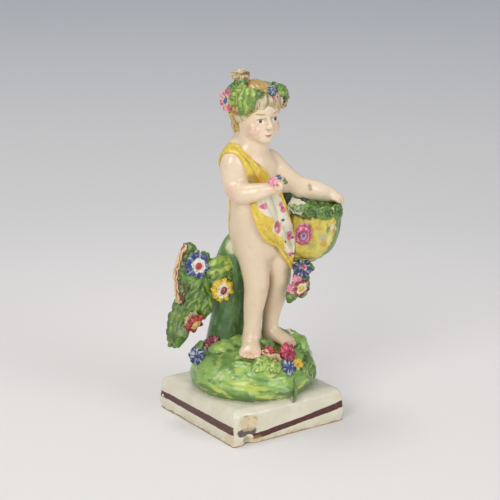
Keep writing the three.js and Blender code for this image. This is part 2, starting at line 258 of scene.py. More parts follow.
def writeAttribute(mesh, name, values):
    layer = mesh.attributes.new(name, "FLOAT", "POINT")
    layer.data.foreach_set("value", np.asarray(values, dtype=np.float32))


def markHollows(mesh, rounds=8):
    # how far each point lies below a smoothed surface: glaze pools there, and thins on ridges; the hollows
    # are also darkened there as painted shade
    co, normal = readPoints(mesh)
    mean = neighbourMean(mesh)
    soft = co
    for _ in range(rounds):
        soft = mean(soft)
    writeAttribute(mesh, "hollow", ((soft - co) * normal).sum(1))


def finishPiece(piece, material, node="figure"):
    markHollows(piece.data)
    if material:
        piece.data.materials.clear()
        piece.data.materials.append(material)
    piece.data.transform(Matrix.Scale(metre, 4))
    piece.data.shade_smooth()
    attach(piece, "root")
    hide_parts(node)
    return piece


# glazes and enamels


def tint(red, green, blue):
    # a painter's colour, 0 to 255 as seen, turned into the renderer's own numbers
    def linear(channel):
        share = channel / 255
        return share / 12.92 if share <= 0.04045 else ((share + 0.055) / 1.055) ** 2.4

    return (linear(red), linear(green), linear(blue), 1)


glazeLook = {
    "roughness": 0.29,
    "clear": 0.38,
    "clearRoughness": 0.13,
    # the glaze is glossier and duller in places, by these shares of its roughness
    "glossiest": 0.75,
    "dullest": 1.35,
}


class Enamel:
    # one glazed finish, painted coat by coat over its ground colour

    def __init__(self, name, ground, roughness=glazeLook["roughness"], clear=glazeLook["clear"]):
        self.material = bpy.data.materials.new(name)
        self.material.use_nodes = True
        self.tree = self.material.node_tree
        self.shader = self.tree.nodes["Principled BSDF"]
        self.roughness = roughness
        self.shader.inputs["Coat Weight"].default_value = clear
        self.shader.inputs["Coat Roughness"].default_value = glazeLook["clearRoughness"]
        coordinates = self.tree.nodes.new("ShaderNodeTexCoord")
        inMillimetres = self.tree.nodes.new("ShaderNodeVectorMath")
        inMillimetres.operation = "SCALE"
        inMillimetres.inputs["Scale"].default_value = 1 / metre
        self.tree.links.new(coordinates.outputs["Object"], inMillimetres.inputs[0])
        self.place = inMillimetres.outputs[0]
        self.colour = None
        self.ground = ground

    def plug(self, socket, value):
        if isinstance(value, (int, float, tuple)):
            socket.default_value = value
        else:
            self.tree.links.new(value, socket)

    def maths(self, operation, first, second=0.0, third=0.0):
        node = self.tree.nodes.new("ShaderNodeMath")
        node.operation = operation
        for socket, value in zip(node.inputs, (first, second, third)):
            self.plug(socket, value)
        return node.outputs[0]

    def ease(self, value, low, high):
        # 0 at low and 1 at high, smoothly; low may be the larger
        node = self.tree.nodes.new("ShaderNodeMapRange")
        node.interpolation_type = "SMOOTHSTEP"
        for name, given in (("Value", value), ("From Min", low), ("From Max", high)):
            self.plug(node.inputs[name], given)
        return node.outputs[0]

    def attribute(self, name):
        node = self.tree.nodes.new("ShaderNodeAttribute")
        node.attribute_name = name
        return node.outputs["Fac"]

    def axis(self, which):
        node = self.tree.nodes.new("ShaderNodeSeparateXYZ")
        self.tree.links.new(self.place, node.inputs[0])
        return node.outputs["XYZ".index(which)]

    def mottle(self, size, detail=3.0, stretch=(1, 1, 1), shift=0.0, source=None):
        # a cloudy pattern whose patches are about size millimetres
        mapping = self.tree.nodes.new("ShaderNodeMapping")
        mapping.inputs["Location"].default_value = (shift, shift * 0.7, -shift * 0.4)
        mapping.inputs["Scale"].default_value = tuple(1 / (size * s) for s in stretch)
        self.tree.links.new(source or self.place, mapping.inputs["Vector"])
        node = self.tree.nodes.new("ShaderNodeTexNoise")
        node.inputs["Scale"].default_value = 1.0
        node.inputs["Detail"].default_value = detail
        self.tree.links.new(mapping.outputs[0], node.inputs["Vector"])
        return node.outputs["Fac"]

    def away(self, centre, radii=(1, 1, 1), turn=(0, 0, 0)):
        # distance from a centre, where 1 is on an egg with these half-sizes
        mapping = self.tree.nodes.new("ShaderNodeMapping")
        mapping.vector_type = "TEXTURE"
        mapping.inputs["Location"].default_value = centre
        mapping.inputs["Rotation"].default_value = turn
        mapping.inputs["Scale"].default_value = radii
        self.tree.links.new(self.place, mapping.inputs["Vector"])
        node = self.tree.nodes.new("ShaderNodeVectorMath")
        node.operation = "LENGTH"
        self.tree.links.new(mapping.outputs[0], node.inputs[0])
        return node.outputs["Value"]

    def spot(self, centre, radii, soft=0.2, turn=(0, 0, 0), ragged=0.0, size=1.0):
        distance = self.away(centre, radii, turn)
        if ragged:
            distance = self.maths("MULTIPLY_ADD", self.mottle(size, 2.0, shift=sum(centre)), ragged, distance)
            distance = self.maths("SUBTRACT", distance, ragged / 2)
        return self.ease(distance, 1 + soft / 2, 1 - soft / 2)

    def wavy(self, value, amount, size, *pattern, **more):
        # a value that a cloudy pattern unsettles, so that what is eased from it gets a hand-painted edge
        return self.maths("MULTIPLY_ADD", self.mottle(size, *pattern, **more), amount, value)

    def times(self, first, second):
        return self.maths("MULTIPLY", first, second)

    def either(self, first, second):
        return self.maths("MAXIMUM", first, second)

    def coat(self, colour, mask, strength=1.0):
        node = self.tree.nodes.new("ShaderNodeMix")
        node.data_type = "RGBA"
        if strength != 1.0:
            mask = self.times(mask, strength)
        self.plug(node.inputs["Factor"], mask)
        self.plug(node.inputs["A"], self.colour or self.ground)
        self.plug(node.inputs["B"], colour)
        self.colour = node.outputs["Result"]

    def clouds(self, colour, strength, low, high, size, *pattern, within=None, **more):
        # a coat in cloudy patches about size millimetres wide: none below low, full above high
        patches = self.ease(self.mottle(size, *pattern, **more), low, high)
        self.coat(colour, self.times(within, patches) if within else patches, strength)

    def dab(self, colour, strength, centre, radii, *edge, **more):
        # a coat on one egg-shaped place
        self.coat(colour, self.spot(centre, radii, *edge, **more), strength)

    def pool(self, colour, depth=0.16, strength=0.75):
        # tinted glaze and grime lying in the hollows, with painted shade darkening the creases and the gaps
        # between parts
        self.coat(colour, self.ease(self.attribute("hollow"), depth * 0.25, depth), strength)

    def done(self, ripple=0.012, rippleSize=1.6):
        self.plug(self.shader.inputs["Base Color"], self.colour)
        gloss = self.tree.nodes.new("ShaderNodeMapRange")
        gloss.inputs["To Min"].default_value = self.roughness * glazeLook["glossiest"]
        gloss.inputs["To Max"].default_value = self.roughness * glazeLook["dullest"]
        self.tree.links.new(self.mottle(rippleSize * 1.6, 3.0, shift=17.0), gloss.inputs["Value"])
        self.tree.links.new(gloss.outputs[0], self.shader.inputs["Roughness"])
        bump = self.tree.nodes.new("ShaderNodeBump")
        bump.inputs["Strength"].default_value = 1.0
        bump.inputs["Distance"].default_value = ripple * metre
        self.tree.links.new(self.mottle(rippleSize, 2.0, shift=11.0), bump.inputs["Height"])
        self.tree.links.new(bump.outputs[0], self.shader.inputs["Normal"])
        return self.material


# the floor and the light

studio = {
    # painted light: the floor is painted lightest near the middle and dimmer out to the wall
    "floorLitNear": tint(229, 225, 222),
    "floorDimmerMid": tint(216, 214, 213),
    "floorDimmestFar": tint(212, 214, 218),
    "flatRadius": 2600.0,
    # the floor sweeps up to a wall: height, and how much wider than the ring before
    "sweep": [(90, 1.09), (330, 1.07), (700, 1.03), (1800, 1.0)],
    # name, place, what it faces, size, power, colour
    "lights": [
        ("keySoftBox", (-980, -560, 640), (0, 0, 60), 840, 8.0, (1.0, 0.985, 0.965)),
        ("fillSoftBox", (380, -1080, 480), (0, 0, 70), 700, 4.6, (0.98, 0.99, 1.0)),
        ("topSoftBox", (-60, 240, 1100), (0, 0, 60), 520, 4.4, (1.0, 1.0, 1.0)),
    ],
    "air": (0.93, 0.95, 1.0, 1),
    "airStrength": 0.42,
    "fleck": tint(228, 224, 221),
}


def floorPaper():
    paper = Enamel("floorPaper", studio["floorLitNear"], roughness=0.75, clear=0.0)
    out = paper.away((0, 0, 0))
    # painted light: the floor turns greyer and cooler away from the figure and up the wall, standing in for
    # the lamps' fall-off
    paper.coat(studio["floorDimmerMid"], paper.ease(out, 120.0, 340.0))
    paper.coat(studio["floorDimmestFar"], paper.ease(out, 400.0, 900.0))
    paper.coat(studio["fleck"], paper.mottle(260.0, 2.0), 0.06)
    return paper.done(ripple=0.02, rippleSize=3.0)


def makeFloor():
    bm = bmesh.new()
    bmesh.ops.create_circle(bm, cap_ends=True, radius=studio["flatRadius"], segments=96)
    rim = [edge for edge in bm.edges if edge.is_boundary]
    for lift, grow in studio["sweep"]:
        out = bmesh.ops.extrude_edge_only(bm, edges=rim)
        verts, rim = only(BMVert, out["geom"]), only(BMEdge, out["geom"])
        height = verts[0].co.z
        bmesh.ops.scale(bm, vec=(grow, grow, 1), verts=verts)
        bmesh.ops.translate(bm, vec=(0, 0, lift - height), verts=verts)
    bmesh.ops.recalc_face_normals(bm, faces=bm.faces[:])
    if bm.faces[:][0].normal.z < 0:  # the bowl is seen from inside
        bmesh.ops.reverse_faces(bm, faces=bm.faces[:])
    floorPiece = newPiece("studioFloor", bm)
    floorPiece.data.materials.append(floorPaper())
    floorPiece.data.transform(Matrix.Scale(metre, 4))
    floorPiece.data.shade_smooth()


def softBox(name, place, aim, size, power, colour):
    data = bpy.data.lights.new(name, "AREA")
    data.shape = "DISK"
    data.size = size * metre
    data.energy = power
    data.color = colour
    lamp = bpy.data.objects.new(name, data)
    lamp.location = Vector(place) * metre
    lamp.rotation_euler = (Vector(place) - Vector(aim)).to_track_quat("Z", "Y").to_euler()
    scene.collection.objects.link(lamp)


def lightStudio():
    for light in studio["lights"]:
        softBox(*light)
    world = bpy.data.worlds.new("studioAir")
    world.use_nodes = True
    background = world.node_tree.nodes["Background"]
    background.inputs["Color"].default_value = studio["air"]
    background.inputs["Strength"].default_value = studio["airStrength"]
    scene.world = world


makeFloor()
lightStudio()
print("floor and lights made")


# the square plinth

plinth = {
    "halfSide": 26.9,
    "corner": 0.9,
    "voxel": 0.42,
    # height, inset of the sides there
    "levels": [
        (0.7, 0.15), (3.0, 0.0), (6.0, 0.35), (9.5, 0.6), (11.8, 0.95), (13.1, 1.9), (13.8, 3.4), (14.0, 5.2),
    ],
    # along the front: share of the side, the band's height there, half its width
    "frontBand": [(0.0, 0.22, 0.6, 1.0), (2.6, 3.05, 4.6, 7.2), (1.2, 1.2, 1.05, 1.5)],
    "cream": tint(216, 210, 187),
    "ivory": tint(229, 223, 202),
    "band": tint(75, 22, 19),
    "ochre": tint(196, 160, 92),
    "dirtAndShade": tint(150, 128, 84),
    "aged": tint(214, 204, 172),
    "grime": tint(128, 100, 60),
    "rubbed": tint(112, 58, 48),
    "touchUp": tint(60, 38, 36),
    "touchUpWorn": tint(132, 104, 84),
    "stain": tint(212, 192, 146),
    "stainDeep": tint(170, 140, 84),
    "stainTop": tint(150, 122, 70),
    "chip": tint(240, 236, 226),
}


def plinthBand(x, y, z):
    # signed distance in millimetres inside the brushed band: positive is painted
    edge = plinth["halfSide"]
    wobble = 0.3 * noise.noise(Vector((x, y, 0)) * 0.12) + 0.14 * noise.noise(Vector((x, y, 5)) * 0.6)
    if x < y and x < -y:  # left side, from the front corner to the far one
        share = (edge - y) / (2 * edge)
        middle, half = 5.9 + 0.3 * share, 1.2 + 0.5 * share
    elif x < y:  # back
        middle, half = 6.0, 1.2
    elif x < -y:  # front, climbing to the right
        share = (x + edge) / (2 * edge)
        middle = np.interp(share, plinth["frontBand"][0], plinth["frontBand"][1])
        half = np.interp(share, plinth["frontBand"][0], plinth["frontBand"][2]) - 3.0 * (share < 0.1)
    else:
        share = (y + edge) / (2 * edge)
        middle, half = 7.1 - share, 1.4
    return half - abs(z - middle - wobble)


def makePlinth():
    bm = bmesh.new()
    bmesh.ops.create_grid(bm, x_segments=1, y_segments=1, size=plinth["halfSide"])
    bmesh.ops.bevel(bm, geom=bm.verts[:], affect="VERTICES", offset=plinth["corner"], segments=6,
                    profile=0.5, material=-1)
    cap = bm.faces[:][0]
    before = 1.0
    for step, (level, inset) in enumerate(plinth["levels"]):
        size = 1 - inset / plinth["halfSide"]
        out = bmesh.ops.extrude_face_region(bm, geom=[cap], use_keep_orig=step == 0)
        verts, cap = only(BMVert, out["geom"]), only(BMFace, out["geom"])[0]
        bmesh.ops.translate(bm, vec=(0, 0, level - verts[0].co.z), verts=verts)
        bmesh.ops.scale(bm, vec=(size / before, size / before, 1), verts=verts)
        before = size
    bmesh.ops.recalc_face_normals(bm, faces=bm.faces[:])
    piece = newPiece("squarePlinth", bm)
    fuse(piece, plinth["voxel"], soften=2)
    edge = plinth["halfSide"]
    ripple(piece, (14.0, 0.22), (3.0, 0.06))  # hand-pressed sides and top are never quite flat
    sculpt(piece, [
        ((-edge, -edge, 4.5), 3.4, (0.55, 0.55, 0.0)),  # worn corner below the left foot
        ((-edge + 0.4, -edge, 10.5), 3.6, (0.3, 0.35, -0.15)),
        ((-edge + 7.0, -edge, 0.2), 3.4, (0.0, 1.2, 0.8)),  # nick in the bottom edge
        ((-edge + 6.4, -edge, 2.6), 2.6, (0.0, 0.8, 0.0)),
        ((-edge + 6.4, -edge, 9.4), 4.6, (0.0, 0.5, 0.0)),  # flake above the band
        ((edge, -edge, 0.5), 3.0, (-0.5, 0.4, 0.3)),
        ((-edge, edge, 7.0), 17.0, (-0.6, 1.0, 0.0)),  # the far corner runs out a little
        ((-edge, edge, 0.3), 2.4, (0.35, -0.35, 0.3)),
    ])
    co, _ = readPoints(piece.data)
    co[co[:, 2] < 0.35, 2] = 0.0  # it sits flat
    movePoints(piece.data, co)
    writeAttribute(piece.data, "band", [plinthBand(*point) for point in co])
    return finishPiece(piece, plinthGlaze(), "plinth")


def plinthGlaze():
    glaze = Enamel("bandedCreamGlaze", plinth["cream"], roughness=0.22)
    edge = plinth["halfSide"]
    glaze.clouds(plinth["ivory"], 0.6, 0.42, 0.62, 9.0)
    glaze.clouds(plinth["aged"], 0.45, 0.5, 0.75, 4.0, 4.0, shift=3.0)
    low = glaze.ease(glaze.axis("Z"), 2.6, 0.2)
    glaze.clouds(plinth["ochre"], 0.5, 0.46, 0.64, 3.2, 4.0, shift=7.0, within=low)
    rim = glaze.ease(glaze.wavy(glaze.axis("Z"), 2.2, 2.0, 4.0, shift=1.0), 1.8, 1.25)
    glaze.coat(plinth["grime"], rim, 0.75)
    painted = glaze.ease(glaze.wavy(glaze.attribute("band"), 0.3, 0.8, 2.0), 0.07, 0.22)
    worn = glaze.spot((-edge, -edge, 5.8), (1.5, 1.5, 3.4), 0.4, ragged=0.5, size=1.2)
    halfMoon = glaze.spot((-edge + 7.2, -edge, 2.6), (2.1, 2.0, 1.7), 0.12)
    missing = glaze.either(worn, halfMoon)
    painted = glaze.times(painted, glaze.maths("SUBTRACT", 1.0, missing))
    glaze.coat(plinth["band"], painted)
    glaze.clouds(plinth["rubbed"], 0.5, 0.5, 0.75, 2.2, 3.0, shift=2.0, within=painted)
    repaint = glaze.spot((-edge + 6.3, -edge, 5.3), (4.6, 1.8, 1.8), 0.25, ragged=0.5, size=1.1)
    repaint = glaze.times(repaint, glaze.maths("SUBTRACT", 1.0, halfMoon))
    glaze.coat(plinth["touchUp"], repaint, 0.92)
    glaze.clouds(plinth["touchUpWorn"], 0.7, 0.55, 0.66, 1.1, 3.0, shift=9.0, within=repaint)
    stain = glaze.spot((-edge + 7.4, -edge, 9.2), (4.6, 1.8, 3.5), 0.4, ragged=0.7, size=1.8)
    glaze.coat(plinth["stain"], stain, 0.75)
    glaze.clouds(plinth["stainDeep"], 0.6, 0.54, 0.68, 1.4, 3.0, shift=5.0, within=stain)
    glaze.dab(plinth["stainTop"], 0.75, (-edge + 6.6, -edge, 11.6), (1.6, 1.6, 0.5), 0.8, ragged=0.7)
    glaze.dab(plinth["ochre"], 0.4, (-edge, -edge + 3.0, 2.6), (1.2, 3.4, 1.8), 0.8, ragged=0.6)
    glaze.dab(plinth["ochre"], 0.45, (-edge + 10.5, -edge, 1.6), (3.0, 1.0, 1.3), 0.8, ragged=0.6)
    glaze.dab(plinth["chip"], 1.0, (-edge, edge - 1.6, 5.4), (1.2, 0.6, 0.5), 0.4)
    # dirt and glaze in the hollows, and painted shade there
    glaze.pool(plinth["dirtAndShade"], 0.12, 0.6)
    return glaze.done(ripple=0.02, rippleSize=2.4)


makePlinth()
print("plinth made")


# the child: trunk, limbs and head in one

child = {
    "voxel": 0.34,
    # stations are x, y, z, half-width, half-depth
    "trunk": [
        (3.6, -1.6, 62.9, 5.0, 4.6), (3.2, -1.1, 66.9, 9.2, 7.8), (2.4, -0.8, 71.9, 11.0, 8.5),
        (1.0, -0.8, 77.9, 10.8, 9.0), (0.4, -1.0, 84.9, 10.0, 8.8), (0.4, -0.3, 92.9, 9.7, 8.0),
        (0.2, -0.1, 100.4, 10.1, 7.6), (-0.2, 0.2, 105.4, 10.0, 7.0), (-0.5, 0.3, 109.4, 8.8, 6.2),
        (0.1, 0.0, 112.6, 6.8, 5.8), (0.5, -0.2, 117.8, 6.1, 5.7),
    ],
    "rightLeg": [
        (-1.0, -1.4, 76.0, 4.4, 5.4), (-1.5, -1.9, 71.0, 6.2, 7.0), (-1.4, -3.3, 66.0, 5.9, 6.6),
        (-1.5, -4.7, 61.0, 5.4, 5.9), (-1.6, -5.4, 57.0, 5.1, 5.4), (-1.9, -5.0, 52.0, 4.5, 4.9),
        (-2.4, -4.4, 47.0, 4.0, 4.5), (-2.9, -4.5, 42.6, 3.5, 3.9), (-3.2, -4.6, 38.4, 3.6, 3.8),
        (-3.5, -4.8, 34.6, 3.8, 4.2), (-3.6, -4.8, 31.0, 3.4, 3.6),
    ],
    "rightFoot": [
        (-3.1, 1.0, 32.6, 1.7, 1.9), (-3.3, -0.7, 33.0, 2.9, 2.9), (-3.9, -4.2, 33.6, 3.6, 3.6),
        (-5.9, -7.8, 32.7, 4.1, 2.7), (-8.1, -10.5, 31.7, 4.7, 2.0), (-9.2, -11.9, 31.0, 4.7, 1.5),
    ],
    "leftLeg": [
        (6.8, -1.2, 76.0, 4.0, 5.2), (8.7, -1.8, 70.4, 6.6, 7.0), (9.4, -3.0, 65.6, 6.2, 6.6),
        (9.6, -4.0, 61.0, 5.5, 5.8), (9.6, -4.4, 57.0, 5.0, 5.3), (9.2, -3.6, 52.0, 4.6, 4.9),
        (8.7, -2.4, 47.6, 4.4, 4.8), (8.1, -1.8, 43.0, 3.7, 4.0), (7.6, -1.6, 38.6, 3.3, 3.6),
        (7.5, -1.7, 34.4, 3.6, 3.9), (7.6, -1.8, 31.0, 3.2, 3.4),
    ],
    "leftFoot": [
        (6.4, 1.8, 32.4, 1.6, 1.8), (6.9, 0.0, 32.9, 2.8, 2.8), (8.0, -3.4, 33.5, 3.4, 3.4),
        (9.2, -7.0, 32.8, 3.7, 2.6), (10.1, -9.4, 32.0, 4.0, 2.0), (10.6, -10.8, 31.5, 4.0, 1.5),
    ],
    "rightUpperArm": [
        (-7.6, 0.4, 110.2, 3.4, 3.8), (-8.9, 0.4, 107.8, 4.7, 4.9), (-9.2, 0.2, 103.6, 4.9, 5.1),
        (-9.0, -0.5, 99.4, 4.7, 4.8), (-9.4, -2.2, 96.0, 4.3, 4.4), (-9.5, -3.4, 93.6, 3.3, 3.4),
    ],
    "rightForearm": [
        (-10.2, -1.2, 95.2, 3.0, 3.2), (-9.6, -3.8, 95.3, 4.2, 4.2), (-8.2, -7.0, 95.7, 4.4, 4.3),
        (-6.2, -10.0, 96.5, 4.0, 3.9), (-3.8, -12.3, 97.4, 3.4, 3.3), (-1.8, -14.0, 98.1, 2.9, 2.8),
        (-0.4, -15.2, 98.5, 3.1, 2.5),
    ],
    "leftUpperArm": [
        (5.6, 0.4, 107.0, 3.8, 4.2), (8.6, 0.4, 104.6, 4.7, 4.9), (11.8, -2.6, 100.2, 4.5, 4.6),
        (14.8, -6.6, 96.2, 4.3, 4.4), (16.4, -8.6, 94.4, 3.7, 3.8),
    ],
    "leftForearm": [
        (13.9, -6.2, 94.9, 3.5, 4.3), (16.4, -8.2, 94.4, 4.3, 4.8), (20.4, -10.0, 93.6, 4.3, 4.5),
        (24.2, -11.2, 92.4, 3.9, 4.0), (27.2, -11.8, 91.4, 3.3, 3.5), (29.6, -12.0, 90.4, 3.5, 3.0),
        (31.4, -12.0, 89.5, 3.5, 2.4),
    ],
    # each toe: how far across the foot, how far ahead, size
    "toes": [(3.1, 0.9, 1.5), (1.1, 1.2, 1.1), (-0.6, 0.9, 1.05), (-2.2, 0.2, 1.0), (-3.5, -0.8, 0.9)],
    # eggs that fill out the trunk: centre, half-sizes
    "fullness": [
        ((-1.9, 2.7, 70.8), (5.2, 5.3, 6.2)), ((6.8, 2.7, 70.8), (5.2, 5.3, 6.2)),
        # the nape runs out to the shoulder
        ((-2.4, 4.0, 114.0), (4.0, 3.4, 5.0)), ((-4.8, 3.0, 112.4), (4.6, 3.6, 4.0)),
        ((11.4, -4.4, 94.6), (4.4, 4.0, 3.6)),  # the clay between the left elbow and the side
        ((-3.4, -3.6, 104.4), (5.4, 3.3, 4.0)), ((4.2, -3.6, 104.2), (5.0, 3.3, 4.0)),
    ],
    # places the blending leaves crisp: centre and reach
    "crisp": [
        ((1.2, -8.6, 120.6), 9.0), ((0.6, -16.5, 99.5), 5.5), ((32.2, -12.0, 88.9), 6.0),
        ((-9.3, -12.5, 31.0), 6.0), ((10.9, -11.4, 31.0), 6.0),
    ],
    # cheeks, elbow, hands and toes are rosy: centre, half-sizes
    "blushes": [
        ((-4.0, -6.4, 120.4), (2.8, 3.2, 2.8)), ((6.4, -6.4, 120.4), (2.8, 3.2, 2.8)),
        ((-12.6, -3.6, 94.8), (3.0, 3.0, 3.6)), ((34.0, -12.0, 87.6), (3.0, 5.0, 3.0)),
        ((-9.8, -13.0, 30.4), (5.0, 3.0, 2.0)), ((11.1, -12.2, 30.8), (4.6, 3.0, 2.0)),
        ((-1.0, -16.8, 100.0), (3.6, 3.0, 3.0)),
    ],
    "brow": 127.0,
    "eyes": 124.0,
    "noseBase": 121.0,
    "mouth": 118.0,
    "faceMiddle": 1.2,
    "flesh": tint(234, 211, 180),
    "fleshLight": tint(242, 223, 196),
    "blush": tint(228, 150, 128),
    "pooledGlazeAndShade": tint(176, 172, 126),
    "hairBrown": tint(120, 84, 44),
    "lips": tint(186, 72, 60),
    "fleshShade": tint(222, 192, 158),
    "legs": tint(210, 188, 154),
    "eyeWhite": tint(240, 236, 222),
    "iris": tint(74, 46, 26),
    "browBrown": tint(158, 122, 78),
    "nostril": tint(190, 128, 104),
    "kneeMark": tint(150, 60, 48),
    "armMark": tint(104, 112, 62),
    "handMark": tint(150, 146, 96),
}


def toes(bm, middle, pointing, inward):
    # five toes across the front of a foot, the great toe on the inward side
    ahead = Vector(pointing).normalized()
    side = Vector(inward).normalized()
    for across, along, size in child["toes"]:
        root = Vector(middle) + side * across + ahead * (along - 1.6)
        pad = root + ahead * 1.9 - upward * 0.3
        tip = pad + ahead * 0.9
        breadths = ((root, 0.9, 0.8), (pad, 1.0, 0.85), (tip, 0.6, 0.5))
        stations = [(*point, size * wide, size * deep) for point, wide, deep in breadths]
        loft(bm, stations, ahead=upward, sides=10, cuts=2)


def finger(bm, root, steps, size):
    # root, knuckles and tip, each step measured from the root
    points = [root] + [root + Vector(step) for step in steps]
    stations = [(*point, size * share, size * share) for point, share in zip(points, (1.0, 1.05, 0.98, 0.72))]
    loft(bm, stations, ahead=Vector((0.2, 0.3, 1)), sides=10, cuts=3)


def rightHand(bm):
    # closed round the posy's stem
    egg(bm, (0.2, -15.6, 98.6), (3.0, 2.7, 2.5), (0, 0, -0.9))
    out, side = Vector((0.63, -0.77, 0.08)), Vector((0.77, 0.63, 0))
    for i in range(4):
        root = Vector((0.5, -16.0, 98.9)) + side * (1.35 * i - 2.2)
        finger(bm, root, [out * 2.0 + upward * 0.3, out * 2.3 + upward * 1.8, out * 0.9 + upward * 2.6], 0.95)
    finger(bm, Vector((-1.3, -15.2, 99.6)), [(0.2, -1.0, 1.1), (1.2, -1.6, 1.9), (2.2, -2.0, 2.2)], 0.95)


def leftHand(bm):
    # fingers laid over the basket's far edge
    egg(bm, (29.6, -12.0, 90.3), (3.6, 3.8, 2.7), (0, 0.35, 0))
    for i in range(4):
        root = Vector((30.0, -15.0 + 1.95 * i, 89.9 - 0.1 * i))
        finger(bm, root, [(2.0, 0, -0.3), (2.8, 0, -2.0), (2.2, 0, -3.6)], 1.15)
    finger(bm, Vector((27.6, -15.2, 90.0)), [(1.4, -1.0, -0.7), (2.8, -1.2, -1.7), (3.6, -1.0, -2.6)], 0.95)


def childHead(bm):
    # a calm child's head on ordinary proportions: eyes at mid height, a high round skull
    x = child["faceMiddle"]
    egg(bm, (x, -0.2, 127.8), (9.2, 9.9, 9.8), sides=28)
    egg(bm, (x, -2.0, 122.0), (7.9, 7.8, 7.0), sides=28)
    egg(bm, (x, 5.0, 121.8), (6.6, 4.2, 5.4))
    egg(bm, (x, -3.4, 119.0), (6.9, 6.3, 4.4), sides=28)
    egg(bm, (x, -7.0, 116.8), (3.3, 2.6, 2.5))
    for side in (-1, 1):
        egg(bm, (x + side * 4.0, -5.9, 120.3), (3.4, 2.9, 2.9))
        egg(bm, (x + side * 3.5, -7.35, child["eyes"]), (1.75, 1.75, 1.5))
        egg(bm, (x + side * 1.0, -10.25, 121.6), (0.85, 0.9, 0.75), sides=12)
    nose = [
        (x, -8.6, 126.4, 1.1, 0.6), (x, -9.4, 124.4, 0.95, 0.9), (x, -10.4, 122.6, 1.1, 1.1),
        (x, -10.6, 121.6, 1.2, 1.0), (x, -9.6, 120.6, 0.9, 0.7),
    ]
    loft(bm, nose, sides=14, cuts=3)
    egg(bm, (x, -9.15, 118.75), (1.9, 1.0, 0.62), sides=14)
    egg(bm, (x, -8.9, 117.65), (1.6, 0.95, 0.68), sides=14)


def faceTouches():
    x = child["faceMiddle"]
    touches = [((x, -9.9, 119.9), 1.3, -0.25), ((x, -8.9, 116.6), 1.6, -0.2)]
    for side in (-1, 1):
        touches += [
            ((x + side * 1.7, -9.4, 124.6), 1.5, -0.45),
            ((x + side * 3.5, -9.2, 122.2), 1.6, -0.25),
            ((x + side * 3.6, -9.2, 125.9), 1.5, -0.22),
            ((x + side * 3.4, -9.3, 127.4), 2.2, 0.28),
            ((x + side * 2.7, -9.0, 118.2), 1.1, -0.22),
        ]
    return touches


def makeChild():
    bm = bmesh.new()
    loft(bm, child["trunk"], sides=32)
    for leg, foot in (("rightLeg", "rightFoot"), ("leftLeg", "leftFoot")):
        loft(bm, child[leg], sides=24)
        loft(bm, child[foot], ahead=upward, sides=20)
    toes(bm, (-9.3, -12.1, 30.7), (-0.58, -0.81, 0), (0.81, -0.58, 0))
    toes(bm, (10.8, -10.9, 31.2), (0.396, -0.918, 0), (-0.918, -0.396, 0))
    loft(bm, child["rightUpperArm"], sides=22)
    loft(bm, child["rightForearm"], ahead=upward, sides=22)
    loft(bm, child["leftUpperArm"], ahead=Vector((0, -0.3, 1)), sides=22)
    loft(bm, child["leftForearm"], ahead=upward, sides=22)
    for centre, halfSizes in child["fullness"]:
        egg(bm, centre, halfSizes)
    rightHand(bm)
    leftHand(bm)
    childHead(bm)
    piece = newPiece("childBody", bm)
    fuse(piece, child["voxel"], soften=2)
    relax(piece, 34, child["crisp"])
    sculpt(piece, faceTouches() + [
        ((-1.6, -11.0, 57.2), 3.2, 0.35),  # knees
        ((9.8, -9.8, 57.2), 3.2, 0.35),
        ((-1.2, -0.2, 56.0), 3.4, -0.5),  # backs of the knees
        ((9.4, 0.8, 56.0), 3.4, -0.5),
        ((1.8, 8.8, 77.0), 5.0, -0.8),  # small of the back
        ((1.0, 8.4, 98.0), 8.0, -0.7),
        ((-5.6, -4.4, 94.0), 3.4, -0.3),
        ((-10.0, -2.0, 90.6), 2.6, -0.3),
    ])
    ripple(piece, (3.6, 0.1), (0.9, 0.035))  # the soft unevenness of a pressed figure under glaze
    return piece


